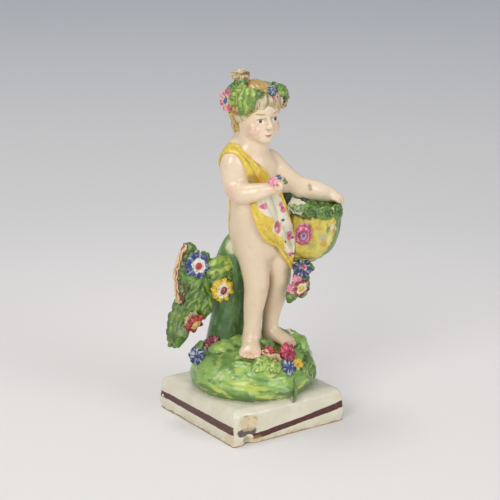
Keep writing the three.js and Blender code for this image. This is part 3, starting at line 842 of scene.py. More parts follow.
def fleshGlaze():
    flesh = Enamel("fleshGlaze", child["flesh"])
    x, eyes = child["faceMiddle"], child["eyes"]
    flesh.clouds(child["fleshLight"], 0.55, 0.4, 0.65, 11.0)
    flesh.clouds(child["fleshShade"], 0.35, 0.52, 0.72, 5.0, 4.0, shift=4.0)
    # painted shade: the flesh darkened from the chest down over the belly and legs
    flesh.coat(child["legs"], flesh.ease(flesh.axis("Z"), 97.0, 80.0), 0.45)
    for centre, radii in child["blushes"]:
        flesh.dab(child["blush"], 0.34, centre, radii, 1.4)
    # glaze pooled in the hollows, and painted shade there, as under the chin
    flesh.pool(child["pooledGlazeAndShade"], 0.2, 0.6)
    for side in (-1, 1):
        centre = (x + side * 3.5, -9.2, eyes)
        flesh.dab(child["eyeWhite"], 0.85, centre, (1.55, 1.6, 0.78), 0.3)
        flesh.dab(child["iris"], 1.0, (centre[0], -9.2, eyes + 0.1), (0.72, 1.6, 0.72), 0.35)
        arch = flesh.away((centre[0], -9.2, eyes - 0.5), (1.8, 2.4, 1.45))
        line = flesh.ease(flesh.maths("ABSOLUTE", flesh.maths("SUBTRACT", arch, 1.0)), 0.2, 0.06)
        lid = flesh.times(line, flesh.ease(flesh.axis("Z"), eyes + 0.2, eyes + 0.6))
        flesh.coat(child["hairBrown"], flesh.times(lid, flesh.spot(centre, (2.2, 2.6, 2.0), 0.3)), 0.8)
        brow = (centre[0] + side * 0.2, -9.3, child["brow"] - 0.2)
        flesh.dab(child["browBrown"], 0.75, brow, (2.1, 2.2, 0.34), 0.6, (0, -side * 0.1, 0))
        nostril = (x + side * 0.95, -10.9, child["noseBase"] - 0.2)
        flesh.dab(child["nostril"], 0.55, nostril, (0.42, 0.9, 0.28), 0.6)
    flesh.dab(child["lips"], 0.85, (x, -9.9, child["mouth"] + 0.18), (1.75, 1.5, 0.3), 0.5)
    flesh.dab(child["lips"], 0.55, (x, -9.8, child["mouth"] - 0.25), (1.15, 1.5, 0.5), 0.7)
    flesh.dab(child["kneeMark"], 0.9, (7.4, -10.0, 54.0), (0.4, 1.4, 0.35), 0.4)
    flesh.dab(child["armMark"], 0.6, (18.4, -13.4, 95.6), (0.8, 1.6, 1.5), 0.6, ragged=0.5)
    flesh.dab(child["handMark"], 0.4, (29.0, -14.8, 89.4), (0.8, 1.6, 1.1), 0.7, ragged=0.6)
    return flesh.done(ripple=0.012, rippleSize=1.8)


childBody = makeChild()
bodyPoints = [vertex.co.copy() for vertex in childBody.data.vertices]
bodyTree = BVHTree.FromPolygons(bodyPoints, [tuple(face.vertices) for face in childBody.data.polygons])
finishPiece(childBody, fleshGlaze())
print("child made")


# cloth over the shoulder, and its flowered end

cloth = {
    "thickness": 0.9,
    "voxel": 0.3,
    # rows across the cloth: the edge by the neck, then the edge by the arm, from the back hem to the belly
    "sash": [
        (6.0, 9.4, 72.0, -6.2, 6.8, 73.0), (5.0, 8.8, 80.0, -6.5, 6.0, 80.0),
        (2.6, 8.2, 90.0, -6.6, 5.6, 90.0), (-0.6, 7.6, 100.0, -8.8, 5.0, 100.0),
        (-3.2, 6.8, 107.5, -12.0, 3.2, 106.0), (-5.8, 3.8, 112.2, -12.4, 1.6, 110.0),
        (-6.8, 1.2, 113.4, -11.8, -0.6, 111.0), (-6.7, -1.6, 113.0, -10.2, -2.2, 111.2),
        (-6.6, -3.6, 111.8, -9.3, -3.4, 110.2), (-3.6, -6.0, 108.2, -8.0, -4.8, 107.2),
        (-0.6, -7.0, 105.5, -7.3, -5.8, 104.0), (2.2, -7.4, 102.3, -6.8, -6.8, 100.2),
        (4.2, -8.6, 98.7, -6.4, -7.6, 96.2), (6.4, -9.6, 95.6, -6.4, -7.8, 92.6),
    ],
    # rows from under the forearm down to the tip: the edge on the child's left, then the right
    "drape": [
        (6.4, -10.0, 98.0, -6.4, -7.6, 95.0), (7.6, -10.0, 93.6, -6.3, -7.8, 91.0),
        (8.8, -10.4, 89.4, -6.0, -8.2, 88.0), (10.0, -10.8, 84.8, -5.2, -8.8, 84.6),
        (11.4, -11.0, 80.0, -3.6, -9.4, 80.2), (12.2, -11.1, 75.6, -0.8, -9.8, 76.0),
        (12.4, -11.0, 72.0, 4.0, -9.8, 73.0), (12.5, -10.8, 68.8, 6.9, -9.8, 69.0),
        (12.7, -10.4, 65.6, 9.6, -9.8, 65.4), (12.6, -10.0, 62.6, 11.6, -9.8, 62.2),
    ],
    # height, and how far the yellow border reaches from the right-hand edge: -1 is that edge, 1 all across
    "border": [
        (60.0, 1.2), (67.0, 0.9), (68.0, 0.15), (70.0, -0.26), (72.4, -0.08), (74.7, 0.21), (76.4, 0.21),
        (78.0, -0.11), (79.6, -0.24), (81.9, -0.16), (84.0, 0.02), (85.2, -0.03), (86.8, -0.39),
        (88.4, -0.57), (90.0, -0.64), (99.0, -0.66),
    ],
    # height, and where the border along the other edge begins
    "farBorder": [(78.0, 1.3), (82.0, 0.95), (90.0, 0.86), (94.0, 0.72), (97.0, 0.6)],
    "yellow": tint(222, 194, 70),
    "ochre": tint(204, 152, 44),
    "white": tint(228, 220, 196),
    "lemon": tint(236, 212, 100),
    "orange": tint(214, 148, 50),
    "shadow": tint(150, 118, 36),
    "sashPooledAndShade": tint(172, 122, 30),
    "ivory": tint(232, 226, 206),
    "grey": tint(188, 186, 160),
    "borderLight": tint(232, 204, 84),
    "drapePooledAndShade": tint(150, 140, 96),
}


def clothOver(name, rows, cling, lift, folds, cuts=7, across=48):
    # a strip of cloth laid on the child: it clings where it is near, and never goes inside
    run = smoothRun(rows, cuts)
    bm = bmesh.new()
    bmesh.ops.create_grid(bm, x_segments=across, y_segments=len(run) - 1, size=1)
    for vertex in bm.verts:
        s, t = vertex.co.x, (vertex.co.y + 1) / 2
        row = run[min(len(run) - 1, round(t * (len(run) - 1)))]
        start, end = Vector(row[3:]), Vector(row[:3])
        point = start.lerp(end, (s + 1) / 2)
        place, normal, _, distance = bodyTree.find_nearest(point)
        fold = folds(s, t, point.z)
        if distance < cling or (point - place).dot(normal) < lift:
            vertex.co = place + normal * (lift + fold)
        else:
            vertex.co = point + normal * fold
    for _ in range(3):
        bmesh.ops.smooth_vert(
            bm, verts=bm.verts, factor=0.5, use_axis_x=True, use_axis_y=True, use_axis_z=True)
    piece = newPiece(name, bm)
    fuse(piece, cloth["voxel"], soften=3, thickness=cloth["thickness"])
    ripple(piece, (1.6, 0.06))
    return piece


def sashFolds(s, t, z):
    return 0.28 * cos(7.0 * s + 5 * t) * (1 - s * s * 0.3) + 0.16 * cos(13 * s - 9 * t) + 0.12


def drapeFolds(s, t, z):
    run = s * 6.5 + (z - 80) * 0.16
    return 0.4 * cos(run) * (0.4 + t) + 0.16 * cos(2.3 * run + 1) + 0.35 * max(0, -s - 0.72) + 0.3


def clothShare(piece, rows):
    # how far across the cloth each point lies, from -1 to 1, on the row nearest to it in height
    run = np.array(smoothRun(rows, 8))
    co, _ = readPoints(piece.data)
    middle = (run[:, :3] + run[:, 3:]) / 2
    nearest = np.abs(co[:, None, 2] - middle[None, :, 2]).argmin(axis=1)
    start, end = run[nearest, 3:], run[nearest, :3]
    span = end - start
    share = ((co - start) * span).sum(1) / (span * span).sum(1)
    return co, share * 2 - 1, np.linalg.norm(span, axis=1) / 2


def sashGlaze():
    glaze = Enamel("sashEnamel", cloth["yellow"])
    glaze.clouds(cloth["lemon"], 0.55, 0.46, 0.66, 3.4)
    glaze.clouds(cloth["ochre"], 0.6, 0.52, 0.72, 1.6, 3.0, (1, 1, 2.4), 3.0)
    glaze.dab(cloth["orange"], 0.7, (-2.6, -7.6, 100.4), (1.0, 3.0, 4.0), 0.8, (0, 0.3, 0), 0.4)
    glaze.dab(cloth["shadow"], 0.75, (-5.6, -7.4, 100.6), (2.1, 3.0, 2.6), 0.9, ragged=0.4)
    # glaze pooled in the folds, and painted shade there
    glaze.pool(cloth["sashPooledAndShade"], 0.12, 0.7)
    return glaze.done()


# centre, half-size and colour of what is painted on the white field
florets = {
    "pink": tint(214, 96, 134),
    "red": tint(182, 44, 84),
    "dark": tint(44, 46, 78),
    "pale": tint(226, 216, 196),
    "places": [
        ((-1.4, -10.6, 90.3), 1.25, "pink"), ((-2.5, -10.3, 90.2), 0.8, "pink"),
        ((-4.2, -9.6, 89.6), 0.6, "dark"), ((6.2, -10.8, 89.9), 1.0, "pink"),
        ((7.1, -11.1, 87.6), 1.15, "pink"), ((6.7, -11.0, 88.6), 0.7, "red"),
        ((0.9, -11.5, 84.1), 0.6, "dark"), ((4.2, -11.0, 81.5), 1.8, "red"),
        ((4.5, -11.2, 79.8), 1.5, "pink"), ((4.0, -11.4, 80.4), 0.75, "pale"),
        ((7.1, -11.0, 83.4), 0.62, "dark"), ((9.9, -11.4, 77.6), 1.0, "pink"),
        ((10.0, -11.3, 75.9), 1.1, "pink"), ((9.9, -11.4, 76.8), 0.6, "red"),
        ((11.2, -11.8, 75.8), 0.5, "dark"), ((7.8, -11.6, 74.5), 0.5, "dark"),
        ((10.4, -11.4, 68.9), 1.0, "pink"), ((10.5, -10.9, 67.6), 0.8, "red"),
        ((11.9, -11.4, 68.8), 0.5, "dark"),
    ],
}


def drapeGlaze():
    glaze = Enamel("drapeEnamel", cloth["white"])
    glaze.clouds(cloth["ivory"], 0.6, 0.45, 0.65, 2.6)
    glaze.clouds(cloth["grey"], 0.5, 0.56, 0.72, 1.4, 3.0, (1, 1, 3.0), 5.0)
    for centre, size, colour in florets["places"]:
        glaze.dab(florets[colour], 0.9, centre, (size, 1.8, size), 0.7, ragged=0.8, size=0.6)
    edge = glaze.wavy(glaze.attribute("border"), 0.7, 1.3)
    border = glaze.ease(edge, 0.25, 0.5)
    glaze.coat(cloth["yellow"], border)
    glaze.clouds(cloth["borderLight"], 0.6, 0.45, 0.62, 2.2, shift=2.0, within=border)
    glaze.clouds(cloth["ochre"], 0.7, 0.52, 0.7, 1.2, 3.0, shift=8.0, within=border)
    # glaze pooled in the folds, and painted shade there
    glaze.pool(cloth["drapePooledAndShade"], 0.14, 0.55)
    return glaze.done()


sash = clothOver("shoulderCloth", cloth["sash"], 9.0, 0.5, sashFolds, across=40)
finishPiece(sash, sashGlaze())
drape = clothOver("flowerDrape", cloth["drape"], 1.4, 0.75, drapeFolds)
co, share, halfWidth = clothShare(drape, cloth["drape"])
reach, farReach = (np.interp(co[:, 2], *zip(*cloth[edge])) for edge in ("border", "farBorder"))
writeAttribute(drape.data, "border", np.maximum((reach - share) * halfWidth, (share - farReach) * halfWidth))
finishPiece(drape, drapeGlaze())
print("cloth made")


# hair

hair = {
    "voxel": 0.3,
    # combed locks round the brow, temples and nape: degrees round from the front, height of the end, size
    "locks": [
        (-74, 122.8, 1.6), (-58, 126.6, 1.5), (-42, 128.0, 1.6), (-26, 128.2, 1.6), (-9, 128.3, 1.7),
        (9, 128.0, 1.7), (26, 128.2, 1.6), (42, 127.8, 1.6), (58, 127.0, 1.5), (74, 122.6, 1.6),
        (-90, 119.2, 1.9), (90, 119.2, 1.9), (-110, 116.8, 1.9), (110, 116.8, 1.9), (-134, 115.6, 1.8),
        (134, 115.6, 1.8), (-156, 114.6, 1.9), (156, 114.6, 1.9), (180, 114.2, 2.0),
    ],
    "ochre": tint(194, 164, 84),
    "brown": tint(150, 112, 50),
    "cream": tint(216, 204, 172),
    "ridge": tint(206, 180, 116),
    "temple": tint(128, 92, 48),
    "crown": tint(170, 132, 70),
    "worn": tint(214, 190, 138),
    "parting": tint(158, 132, 82),
    "pooledGlazeAndShade": tint(120, 92, 44),
}


def makeHair():
    x = child["faceMiddle"]
    bm = bmesh.new()
    egg(bm, (x, 0.4, 128.4), (10.0, 10.4, 10.0), sides=40)
    egg(bm, (x, 4.9, 120.6), (7.2, 5.0, 6.6), sides=28)
    cut = bmesh.ops.bisect_plane(bm, geom=bm.verts[:] + bm.edges[:] + bm.faces[:],
                                 plane_co=(x, -9.0, 128.8), plane_no=(0, -1, -0.95), clear_outer=True)
    bmesh.ops.holes_fill(bm, edges=only(BMEdge, cut["geom_cut"]))  # the hairline over the brow
    egg(bm, (-3.6, 2.5, 137.8), (3.0, 2.9, 2.6))  # the clay under the topknot
    roll = []  # and the roll of hair that the wreath is pressed on
    for step in range(13):
        turn = 2 * pi * step / 12
        reach = 8.8 - 0.5 * cos(turn)
        roll.append((x + reach * sin(turn), 0.3 - reach * cos(turn), 133.4 + 1.1 * cos(turn), 1.4, 1.5))
    loft(bm, roll, ahead=upward, sides=12, cuts=3)
    for angle, drop, size in hair["locks"]:
        turn = radians(angle)
        points = []
        for share in (0.0, 0.35, 0.7, 1.0):
            z = 134.4 + (drop - 134.4) * share
            slim = max(0.0, 1 - ((z - 128.4) / 11.4) ** 2) ** 0.5
            if z < 124:
                slim = min(slim, 0.82 if abs(angle) > 100 else 0.97)
            swing = turn + 0.13 * share * (1 if angle > 0 else -1)
            across = x + 9.6 * slim * sin(swing)
            deep = 0.4 - 10.0 * slim * cos(swing) * (1 if abs(angle) < 95 else 0.95)
            points.append((across, deep, z, size * (1 - 0.55 * share), size * 0.62 * (1 - 0.3 * share)))
        loft(bm, points, ahead=Vector((sin(turn), -cos(turn), 0.2)), sides=12, cuts=4)
    piece = newPiece("combedHair", bm)
    fuse(piece, hair["voxel"], soften=3)
    co, normal = readPoints(piece.data)
    angle = np.arctan2(co[:, 0] - x, -(co[:, 1] - 0.4))
    waves = angle * 13 + 1.6 * cloud(co, 6.0) + (co[:, 2] - 120) * 0.12
    crown = np.clip((136.0 - co[:, 2]) / 4.0, 0, 1)  # combed smooth on the crown
    combed = 0.24 * cloud(co, 1.5, 2.0, (1.0, 3.0, 1.6)) * (1 - crown)
    grooves = (0.14 * np.cos(waves * 2) + 0.08 * np.cos(waves * 4.6 + 1)) * crown + combed
    movePoints(piece.data, co + normal * grooves[:, None])
    writeAttribute(piece.data, "strand", np.cos(waves * 2) * crown + combed * 5)
    return piece


def hairGlaze():
    glaze = Enamel("hairEnamel", hair["ochre"])
    strand = glaze.attribute("strand")
    glaze.coat(hair["ridge"], glaze.ease(strand, 0.1, 0.9), 0.6)
    glaze.coat(hair["brown"], glaze.ease(strand, -0.2, -0.9), 0.65)
    bare = glaze.spot((2.2, -10.0, 131.4), (8.4, 4.0, 3.2), 0.5, ragged=0.5, size=2.4)
    glaze.coat(hair["cream"], bare, 0.85)
    glaze.dab(hair["cream"], 0.7, (-7.6, -3.4, 123.4), (2.6, 3.4, 4.6), 0.6, ragged=0.6, size=2.0)
    glaze.dab(hair["temple"], 0.8, (-7.6, -2.0, 126.6), (2.6, 3.0, 0.9), 0.6, (0, 0.2, 0), 0.5)
    glaze.dab(hair["crown"], 0.5, (-1.0, -4.0, 138.0), (6.0, 5.0, 2.2), 0.9, ragged=0.9, size=1.2)
    glaze.clouds(hair["worn"], 0.6, 0.54, 0.68, 1.1, 3.0, (1.0, 2.4, 1.0), 9.0)
    glaze.dab(hair["parting"], 0.7, (1.6, -10.8, 130.0), (3.2, 3.2, 1.5), 0.6, ragged=0.3)
    # glaze pooled between the locks, and painted shade there
    glaze.pool(hair["pooledGlazeAndShade"], 0.1, 0.7)
    return glaze.done()


finishPiece(makeHair(), hairGlaze())
print("hair made")


# the grassy mound and the tree stump

ground = {
    "voxel": 0.48,
    # height and radius, from the plinth up
    "mound": [
        (13.7, 23.4), (15.6, 24.6), (18.0, 25.0), (20.6, 24.3), (23.4, 22.6), (26.0, 19.9), (28.2, 16.4),
        (29.7, 11.6), (30.3, 6.0), (30.5, 1.5),
    ],
    # lumps of turf round the mound: angle, height, distance out, size
    "tufts": [
        (-2.5, 17.0, 22.9, 3.2), (-2.0, 16.8, 23.2, 3.6), (-1.5, 16.8, 23.2, 3.4), (-1.0, 17.0, 23.0, 3.2),
        (-0.5, 17.6, 22.8, 3.0), (-2.7, 22.4, 20.8, 3.4), (-2.15, 22.0, 21.0, 3.8), (-1.6, 21.6, 21.2, 3.4),
        (-0.9, 21.8, 21.0, 3.2), (-2.4, 26.4, 17.0, 3.2), (-1.8, 26.2, 17.2, 3.0), (0.2, 18.0, 22.8, 3.4),
        (0.9, 17.4, 23.0, 3.4), (1.7, 17.6, 22.8, 3.4), (2.5, 17.8, 22.8, 3.4), (1.2, 23.0, 20.0, 3.2),
    ],
    # turf in front of the stump, and the ridge on the child's left: centre, half-sizes
    "banks": [
        ((-10.4, 4.4, 28.4), (6.6, 5.2, 4.4)), ((-5.4, 4.0, 29.4), (6.0, 5.0, 4.0)),
        ((17.6, -4.6, 28.2), (5.4, 5.6, 4.2)), ((17.8, -6.8, 26.6), (4.6, 5.0, 4.4)),
    ],
    "stump": [
        (-5.0, 11.5, 24.4, 10.2, 8.2), (-4.6, 11.5, 29.4, 8.9, 7.8), (-4.3, 11.5, 34.4, 7.8, 7.4),
        (-3.8, 11.5, 41.9, 6.9, 7.1), (-3.4, 11.4, 49.9, 6.7, 7.1), (-2.9, 11.0, 57.9, 7.1, 7.1),
        (-1.2, 9.6, 65.4, 7.5, 7.0), (0.8, 7.4, 71.4, 6.8, 6.1), (1.2, 4.6, 76.0, 3.4, 3.4),
    ],
    "roots": [((-10.5, 9.5, 27.5), (5.0, 5.0, 4.0)), ((1.5, 14.5, 28.0), (6.0, 5.0, 4.0))],
    "green": tint(138, 176, 88),
    "deep": tint(78, 114, 54),
    "lime": tint(190, 202, 96),
    "pale": tint(204, 212, 160),
    # broad yellow-green strokes: centre, half-sizes, tilt
    "bands": [
        ((-14.4, -19.7, 20.4), (9.0, 9.0, 1.7), 0.25), ((-7.0, -23.6, 16.2), (6.0, 7.0, 1.0), 0.2),
        ((-4.0, -21.6, 24.0), (4.0, 4.0, 2.2), 0.3), ((-22.0, -10.0, 17.6), (5.0, 6.0, 0.9), 0.4),
        ((9.0, -22.0, 18.0), (6.0, 5.0, 1.0), -0.2), ((20.0, 12.0, 19.0), (7.0, 8.0, 1.4), 0.2),
        ((-12.0, 20.0, 20.0), (9.0, 7.0, 1.4), 0.2), ((4.0, 23.0, 17.0), (8.0, 6.0, 1.2), -0.2),
    ],
    "bark": tint(86, 124, 68),
    "barkDeep": tint(60, 92, 50),
    "fresh": tint(158, 190, 100),
    "glint": tint(206, 214, 176),
    "bareRim": tint(214, 210, 182),
    "pooledGlazeAndShade": tint(52, 84, 44),
    "barkFleck": tint(124, 158, 96),
    "barkLight": tint(116, 152, 92),
    "barkTop": tint(122, 160, 78),
    "barkBare": tint(226, 218, 190),
    "barkPooledAndShade": tint(48, 66, 40),
}


def makeMound():
    bm = bmesh.new()
    loft(bm, [(0, 0, z, radius, radius) for z, radius in ground["mound"]], sides=72)
    for angle, z, reach, size in ground["tufts"]:
        centre = (cos(angle) * reach, sin(angle) * reach, z)
        egg(bm, centre, (size * 1.9, size * 0.7, size * 0.72), (0, 0, angle + pi / 2))
    for centre, halfSizes in ground["banks"]:
        egg(bm, centre, halfSizes)
    piece = newPiece("grassyMound", bm)
    fuse(piece, ground["voxel"], soften=3)
    co, normal = readPoints(piece.data)
    lumps = 0.8 * cloud(co, 7.5, 0.0, (1.5, 1.5, 0.55)) + 0.4 * cloud(co, 3.0, 3.0, (1.6, 1.6, 0.5))
    upper = np.clip((co[:, 2] - 27.0) / 2.5, 0, 1)  # rougher turf round the feet
    lumps += 0.5 * cloud(co, 2.2, 9.0, (1.0, 1.0, 1.4)) * upper
    tufts = 0.12 * cloud(co, 1.4, 5.0, (1.4, 1.4, 0.8))
    push = (lumps + tufts) * np.clip((co[:, 2] - 14.2) / 2.0, 0, 1)
    co = co + normal * push[:, None]
    co[:, 2] = np.maximum(co[:, 2], 13.75)
    movePoints(piece.data, co)
    return piece


def moundGlaze():
    glaze = Enamel("grassEnamel", ground["green"])
    glaze.clouds(ground["fresh"], 0.7, 0.46, 0.62, 7.0, 3.0, (1, 1, 0.7))
    glaze.clouds(ground["deep"], 0.65, 0.52, 0.65, 8.0, 3.0, (1.7, 1.7, 0.45), 3.0)
    foot = glaze.wavy(glaze.axis("Z"), 5.0, 6.0)
    glaze.coat(ground["deep"], glaze.ease(foot, 21.8, 19.2), 0.85)
    glaze.clouds(ground["lime"], 0.5, 0.56, 0.66, 4.0, 3.0, (1.5, 1.5, 0.5), 7.0)
    for centre, radii, tilt in ground["bands"]:
        band = glaze.spot(centre, radii, 0.7, (0.559 * tilt, 0.829 * tilt, 0), 1.0, 2.4)
        glaze.clouds(ground["lime"], 0.9, 0.34, 0.48, 5.0, 2.0, (1.6, 1.6, 0.35), within=band)
    glaze.clouds(ground["deep"], 0.6, 0.56, 0.7, 2.6, 3.0, (1.5, 1.5, 0.7), 17.0)
    glint = glaze.spot((-21.5, -8.2, 22.8), (4.4, 4.4, 3.0), 1.4, ragged=1.0, size=2.4)
    glaze.clouds(ground["glint"], 0.6, 0.46, 0.62, 2.0, 2.0, within=glint)
    glaze.clouds(ground["pale"], 0.5, 0.68, 0.76, 2.6, 3.0, shift=13.0)
    rim = glaze.wavy(glaze.axis("Z"), 3.4, 2.4, shift=2.0)
    glaze.coat(ground["bareRim"], glaze.ease(rim, 16.2, 15.5), 0.8)
    # glaze pooled in the hollows of the turf, and painted shade there
    glaze.pool(ground["pooledGlazeAndShade"], 0.22, 0.75)
    return glaze.done(ripple=0.03, rippleSize=1.1)


def makeStump():
    bm = bmesh.new()
    loft(bm, ground["stump"], sides=36)
    for centre, halfSizes in ground["roots"]:
        egg(bm, centre, halfSizes)
    piece = newPiece("treeStump", bm)
    fuse(piece, ground["voxel"], soften=5)
    co, normal = readPoints(piece.data)
    push = 0.45 * cloud(co, 5.0, 1.0, (1, 1, 2.6)) + 0.14 * cloud(co, 1.6, 4.0, (1, 1, 2.2))
    movePoints(piece.data, co + normal * push[:, None])
    return piece


def barkGlaze():
    glaze = Enamel("barkEnamel", ground["bark"])
    glaze.clouds(ground["barkDeep"], 0.75, 0.44, 0.62, 6.0, 3.0, (1, 1, 2.0))
    glaze.clouds(ground["barkDeep"], 0.7, 0.48, 0.64, 1.6, 4.0, (1, 1, 2.2), 9.0)
    glaze.clouds(ground["barkFleck"], 0.6, 0.58, 0.7, 1.3, 4.0, (1, 1, 1.8), 14.0)
    glaze.clouds(ground["barkLight"], 0.55, 0.54, 0.7, 4.0, 3.0, (1, 1, 2.4), 6.0)
    glaze.dab(ground["barkTop"], 0.6, (-9.0, 6.0, 71.0), (8.0, 9.0, 5.0), 0.8, ragged=0.4, size=3.0)
    glaze.dab(ground["barkBare"], 0.9, (-6.2, 4.6, 71.2), (3.8, 3.6, 3.3), 0.5, ragged=0.7, size=2.0)
    # glaze pooled in the hollows of the bark, and painted shade there
    glaze.pool(ground["barkPooledAndShade"], 0.16, 0.7)
    return glaze.done(ripple=0.02, rippleSize=1.4)


finishPiece(makeMound(), moundGlaze())
finishPiece(makeStump(), barkGlaze())
print("mound and stump made")


# leaves and sprigged flowers: a few forms, pressed on in many places

greens = {
    # middle, dark and light green, and the edge, as seen
    "leafGreen": ((104, 142, 66), (66, 104, 48), (178, 196, 92), (58, 84, 40)),
    "limeGreen": ((156, 182, 80), (84, 124, 52), (208, 214, 110), (76, 110, 46)),
    "darkGreen": ((86, 120, 42), (48, 80, 28), (128, 160, 70), (112, 148, 70)),
    # painted shadow: near-black greens for the leaves lying in the forearm's shade
    "shadeGreen": ((56, 72, 42), (34, 50, 28), (78, 96, 54), (56, 72, 42)),
    "frosted": ((120, 148, 84), (72, 104, 52), (222, 214, 186), (226, 218, 192)),
    "plainGreen": ((116, 142, 84), (84, 112, 62), (146, 166, 100), (92, 116, 66)),
}
blooms = {
    # petal, between the petals, ring and heart, as seen, and where the ring and the heart end
    "blue": ((46, 66, 126), (160, 174, 194), (226, 222, 204), (182, 40, 60), 0.47, 0.2),
    "yellow": ((228, 194, 50), (190, 150, 44), (228, 218, 180), (132, 36, 40), 0.44, 0.21),
    "red": ((160, 34, 40), (192, 96, 80), (222, 198, 150), (216, 172, 52), 0.42, 0.24),
    "pink": ((224, 118, 146), (232, 200, 180), (226, 196, 150), (66, 96, 150), 0.42, 0.22),
    "rose": ((206, 112, 140), (150, 46, 76), (150, 160, 190), (66, 96, 150), 0.2, 0.12),
    "maroon": ((122, 34, 58), (206, 150, 150), (222, 206, 180), (214, 180, 60), 0.5, 0.24),
    "cream": ((210, 192, 146), (136, 100, 56), (170, 130, 76), (120, 86, 48), 0.4, 0.2),
    "blueWashed": ((44, 58, 104), (190, 192, 184), (214, 206, 190), (196, 60, 100), 0.26, 0.14),
    "maroonRing": ((142, 44, 62), (206, 180, 130), (226, 214, 178), (208, 180, 80), 0.56, 0.3),
    "blueBud": ((36, 54, 108), (196, 202, 214), (60, 80, 140), (36, 46, 90), 0.2, 0.1),
    "yellowBud": ((234, 200, 54), (196, 150, 40), (222, 180, 60), (170, 112, 40), 0.3, 0.14),
    "pinkPale": ((232, 132, 160), (232, 200, 196), (236, 180, 190), (206, 80, 120), 0.2, 0.1),
    "crimsonBud": ((204, 62, 94), (236, 168, 178), (166, 40, 70), (120, 24, 50), 0.26, 0.12),
    "redBud": ((178, 40, 46), (226, 206, 180), (196, 84, 70), (150, 36, 44), 0.2, 0.1),
    "maroonBud": ((108, 24, 46), (190, 110, 116), (150, 60, 80), (60, 24, 34), 0.2, 0.1),
    "slate": ((66, 84, 106), (176, 184, 180), (120, 140, 160), (60, 80, 120), 0.3, 0.12),
    "pale": ((216, 216, 206), (110, 136, 110), (90, 110, 140), (206, 150, 60), 0.4, 0.2),
}
pressing = {
    "leafVoxel": 0.27,
    "leafThickness": 1.5,
    "flowerVoxel": 0.25,
    "sprigVoxel": 0.26,
    "unevenness": 0.6,  # how far a pressed leaf or flower strays from its form
}
leafWear = {
    "autumn": tint(156, 140, 76),
    "bare": tint(222, 218, 190),
    "frost": tint(226, 216, 184),
    "pooledGlazeAndShade": tint(44, 62, 30),
}
bloomTouches = {
    "rosePale": tint(228, 168, 178),
    "roseDeep": tint(140, 30, 52),
    "crimsonLow": tint(150, 30, 48),
    # painted shade in the topknot's recess, and a painted highlight on its top
    "topknotRecessShade": tint(120, 88, 44),
    "topknotHighlight": tint(226, 208, 166),
    "pooledGlazeAndShade": tint(70, 48, 42),
}


def leafForm(lobes, depth):
    # a thick leaf 10 long and 6 wide, stem at the origin, pointing +Y and facing +Z
    bm = bmesh.new()
    bmesh.ops.create_grid(bm, x_segments=26, y_segments=44, size=1)
    for vertex in bm.verts:
        s, t = vertex.co.x, (vertex.co.y + 1) / 2
        lobe = cos(2 * pi * lobes * t)
        breadth = 3.0 * max(0.12, sin(pi * min(1.0, (0.05 + 0.93 * t) ** 0.85))) ** 0.55 * (1 + depth * lobe)
        vein = 0.3 * cos(2 * pi * (t * lobes - abs(s) * 0.7)) * abs(s) ** 0.5
        arch = 1.3 * (1 - s * s) * sin(pi * min(1, t * 1.02))
        groove = 0.7 * exp(-((s / 0.17) ** 2)) * (1 - t * 0.6)  # along the midrib
        vertex.co = (s * breadth, 10 * t + 0.5 * lobe * abs(s), arch - groove + vein)
    piece = newPiece("leafForm", bm)
    fuse(piece, pressing["leafVoxel"], soften=5, thickness=pressing["leafThickness"])
    return piece


def flowerForm(petals, pointed, inner=0):
    # a thick rosette 5 in radius facing +Z
    bm = bmesh.new()
    egg(bm, (0, 0, -0.6), (4.3, 4.3, 1.1), sides=24)
    for count, size, rise in ((petals, 1.0, 0.0), (inner, 0.6, 0.9)):
        breadth = pi * 3.0 / max(count, 1) * (1.9 if inner else 1.2) * size
        for i in range(count):
            made = bmesh.ops.create_uvsphere(bm, u_segments=16, v_segments=10, radius=1)
            for vertex in made["verts"]:
                x, y, z = vertex.co
                width = breadth * (1 - pointed * max(x, 0) ** 1.5)
                vertex.co = ((x * 2.15 + 2.85) * size, y * width, z * 0.9 + 0.1 * (x + 1) ** 1.5 + rise)
            turn = Matrix.Rotation(2 * pi * (i + 0.4 * rise) / count, 3, "Z")
            bmesh.ops.rotate(bm, verts=made["verts"], matrix=turn)
    egg(bm, (0, 0, 0.9), (1.35, 1.35, 0.8), sides=14)
    piece = newPiece("flowerForm", bm)
    fuse(piece, pressing["flowerVoxel"])
    return piece


forms = {"oak": leafForm(3, 0.15), "plain": leafForm(5, 0.03), "broad": leafForm(4, 0.1)}
leafNames = tuple(forms)
for petals, pointed in ((5, 0.1), (6, 0.1), (7, 0.1), (8, 0.7)):
    forms[petals] = flowerForm(petals, pointed)
forms["rosette"] = flowerForm(9, 0.0, inner=6)
petalsOf = {"rosette": 9}


def standing(centre, facing, pointing):
    z = Vector(facing).normalized()
    y = (Vector(pointing) - z * z.dot(Vector(pointing))).normalized()
    return Matrix.Translation(centre) @ Matrix((y.cross(z), y, z)).transposed().to_4x4()


def paintMarks(co, form, number):
    # what the painter follows: across and along a leaf, or ring and petal of a flower, and the strokes
    if form in leafNames:
        breadth = np.sin(pi * np.clip(0.05 + co[:, 1] / 10.5, 0.05, 0.97) ** 0.8)
        across = co[:, 0] / (3.1 * np.maximum(0.15, breadth) ** 0.7)
        along = co[:, 1] / 10
        veins = np.stack([across * 1.9, (along * 10 - np.abs(across) * 3.2) * 1.05], axis=1)
        lengthwise = np.stack([across * 2.5 + along * 0.8, along * 1.8], axis=1)
        brush = np.column_stack([lengthwise if form == "plain" else veins, np.full(len(co), number * 7.3)])
        return across, along, cloud(brush, 1.0)
    angle = np.arctan2(co[:, 1], co[:, 0])
    ring = np.hypot(co[:, 0], co[:, 1]) / 5
    brush = np.stack([np.cos(angle) * 4.5, np.sin(angle) * 4.5, ring * 1.6 + number * 5.1], axis=1)
    return ring, np.cos(petalsOf.get(form, form) * angle), cloud(brush, 1.0)


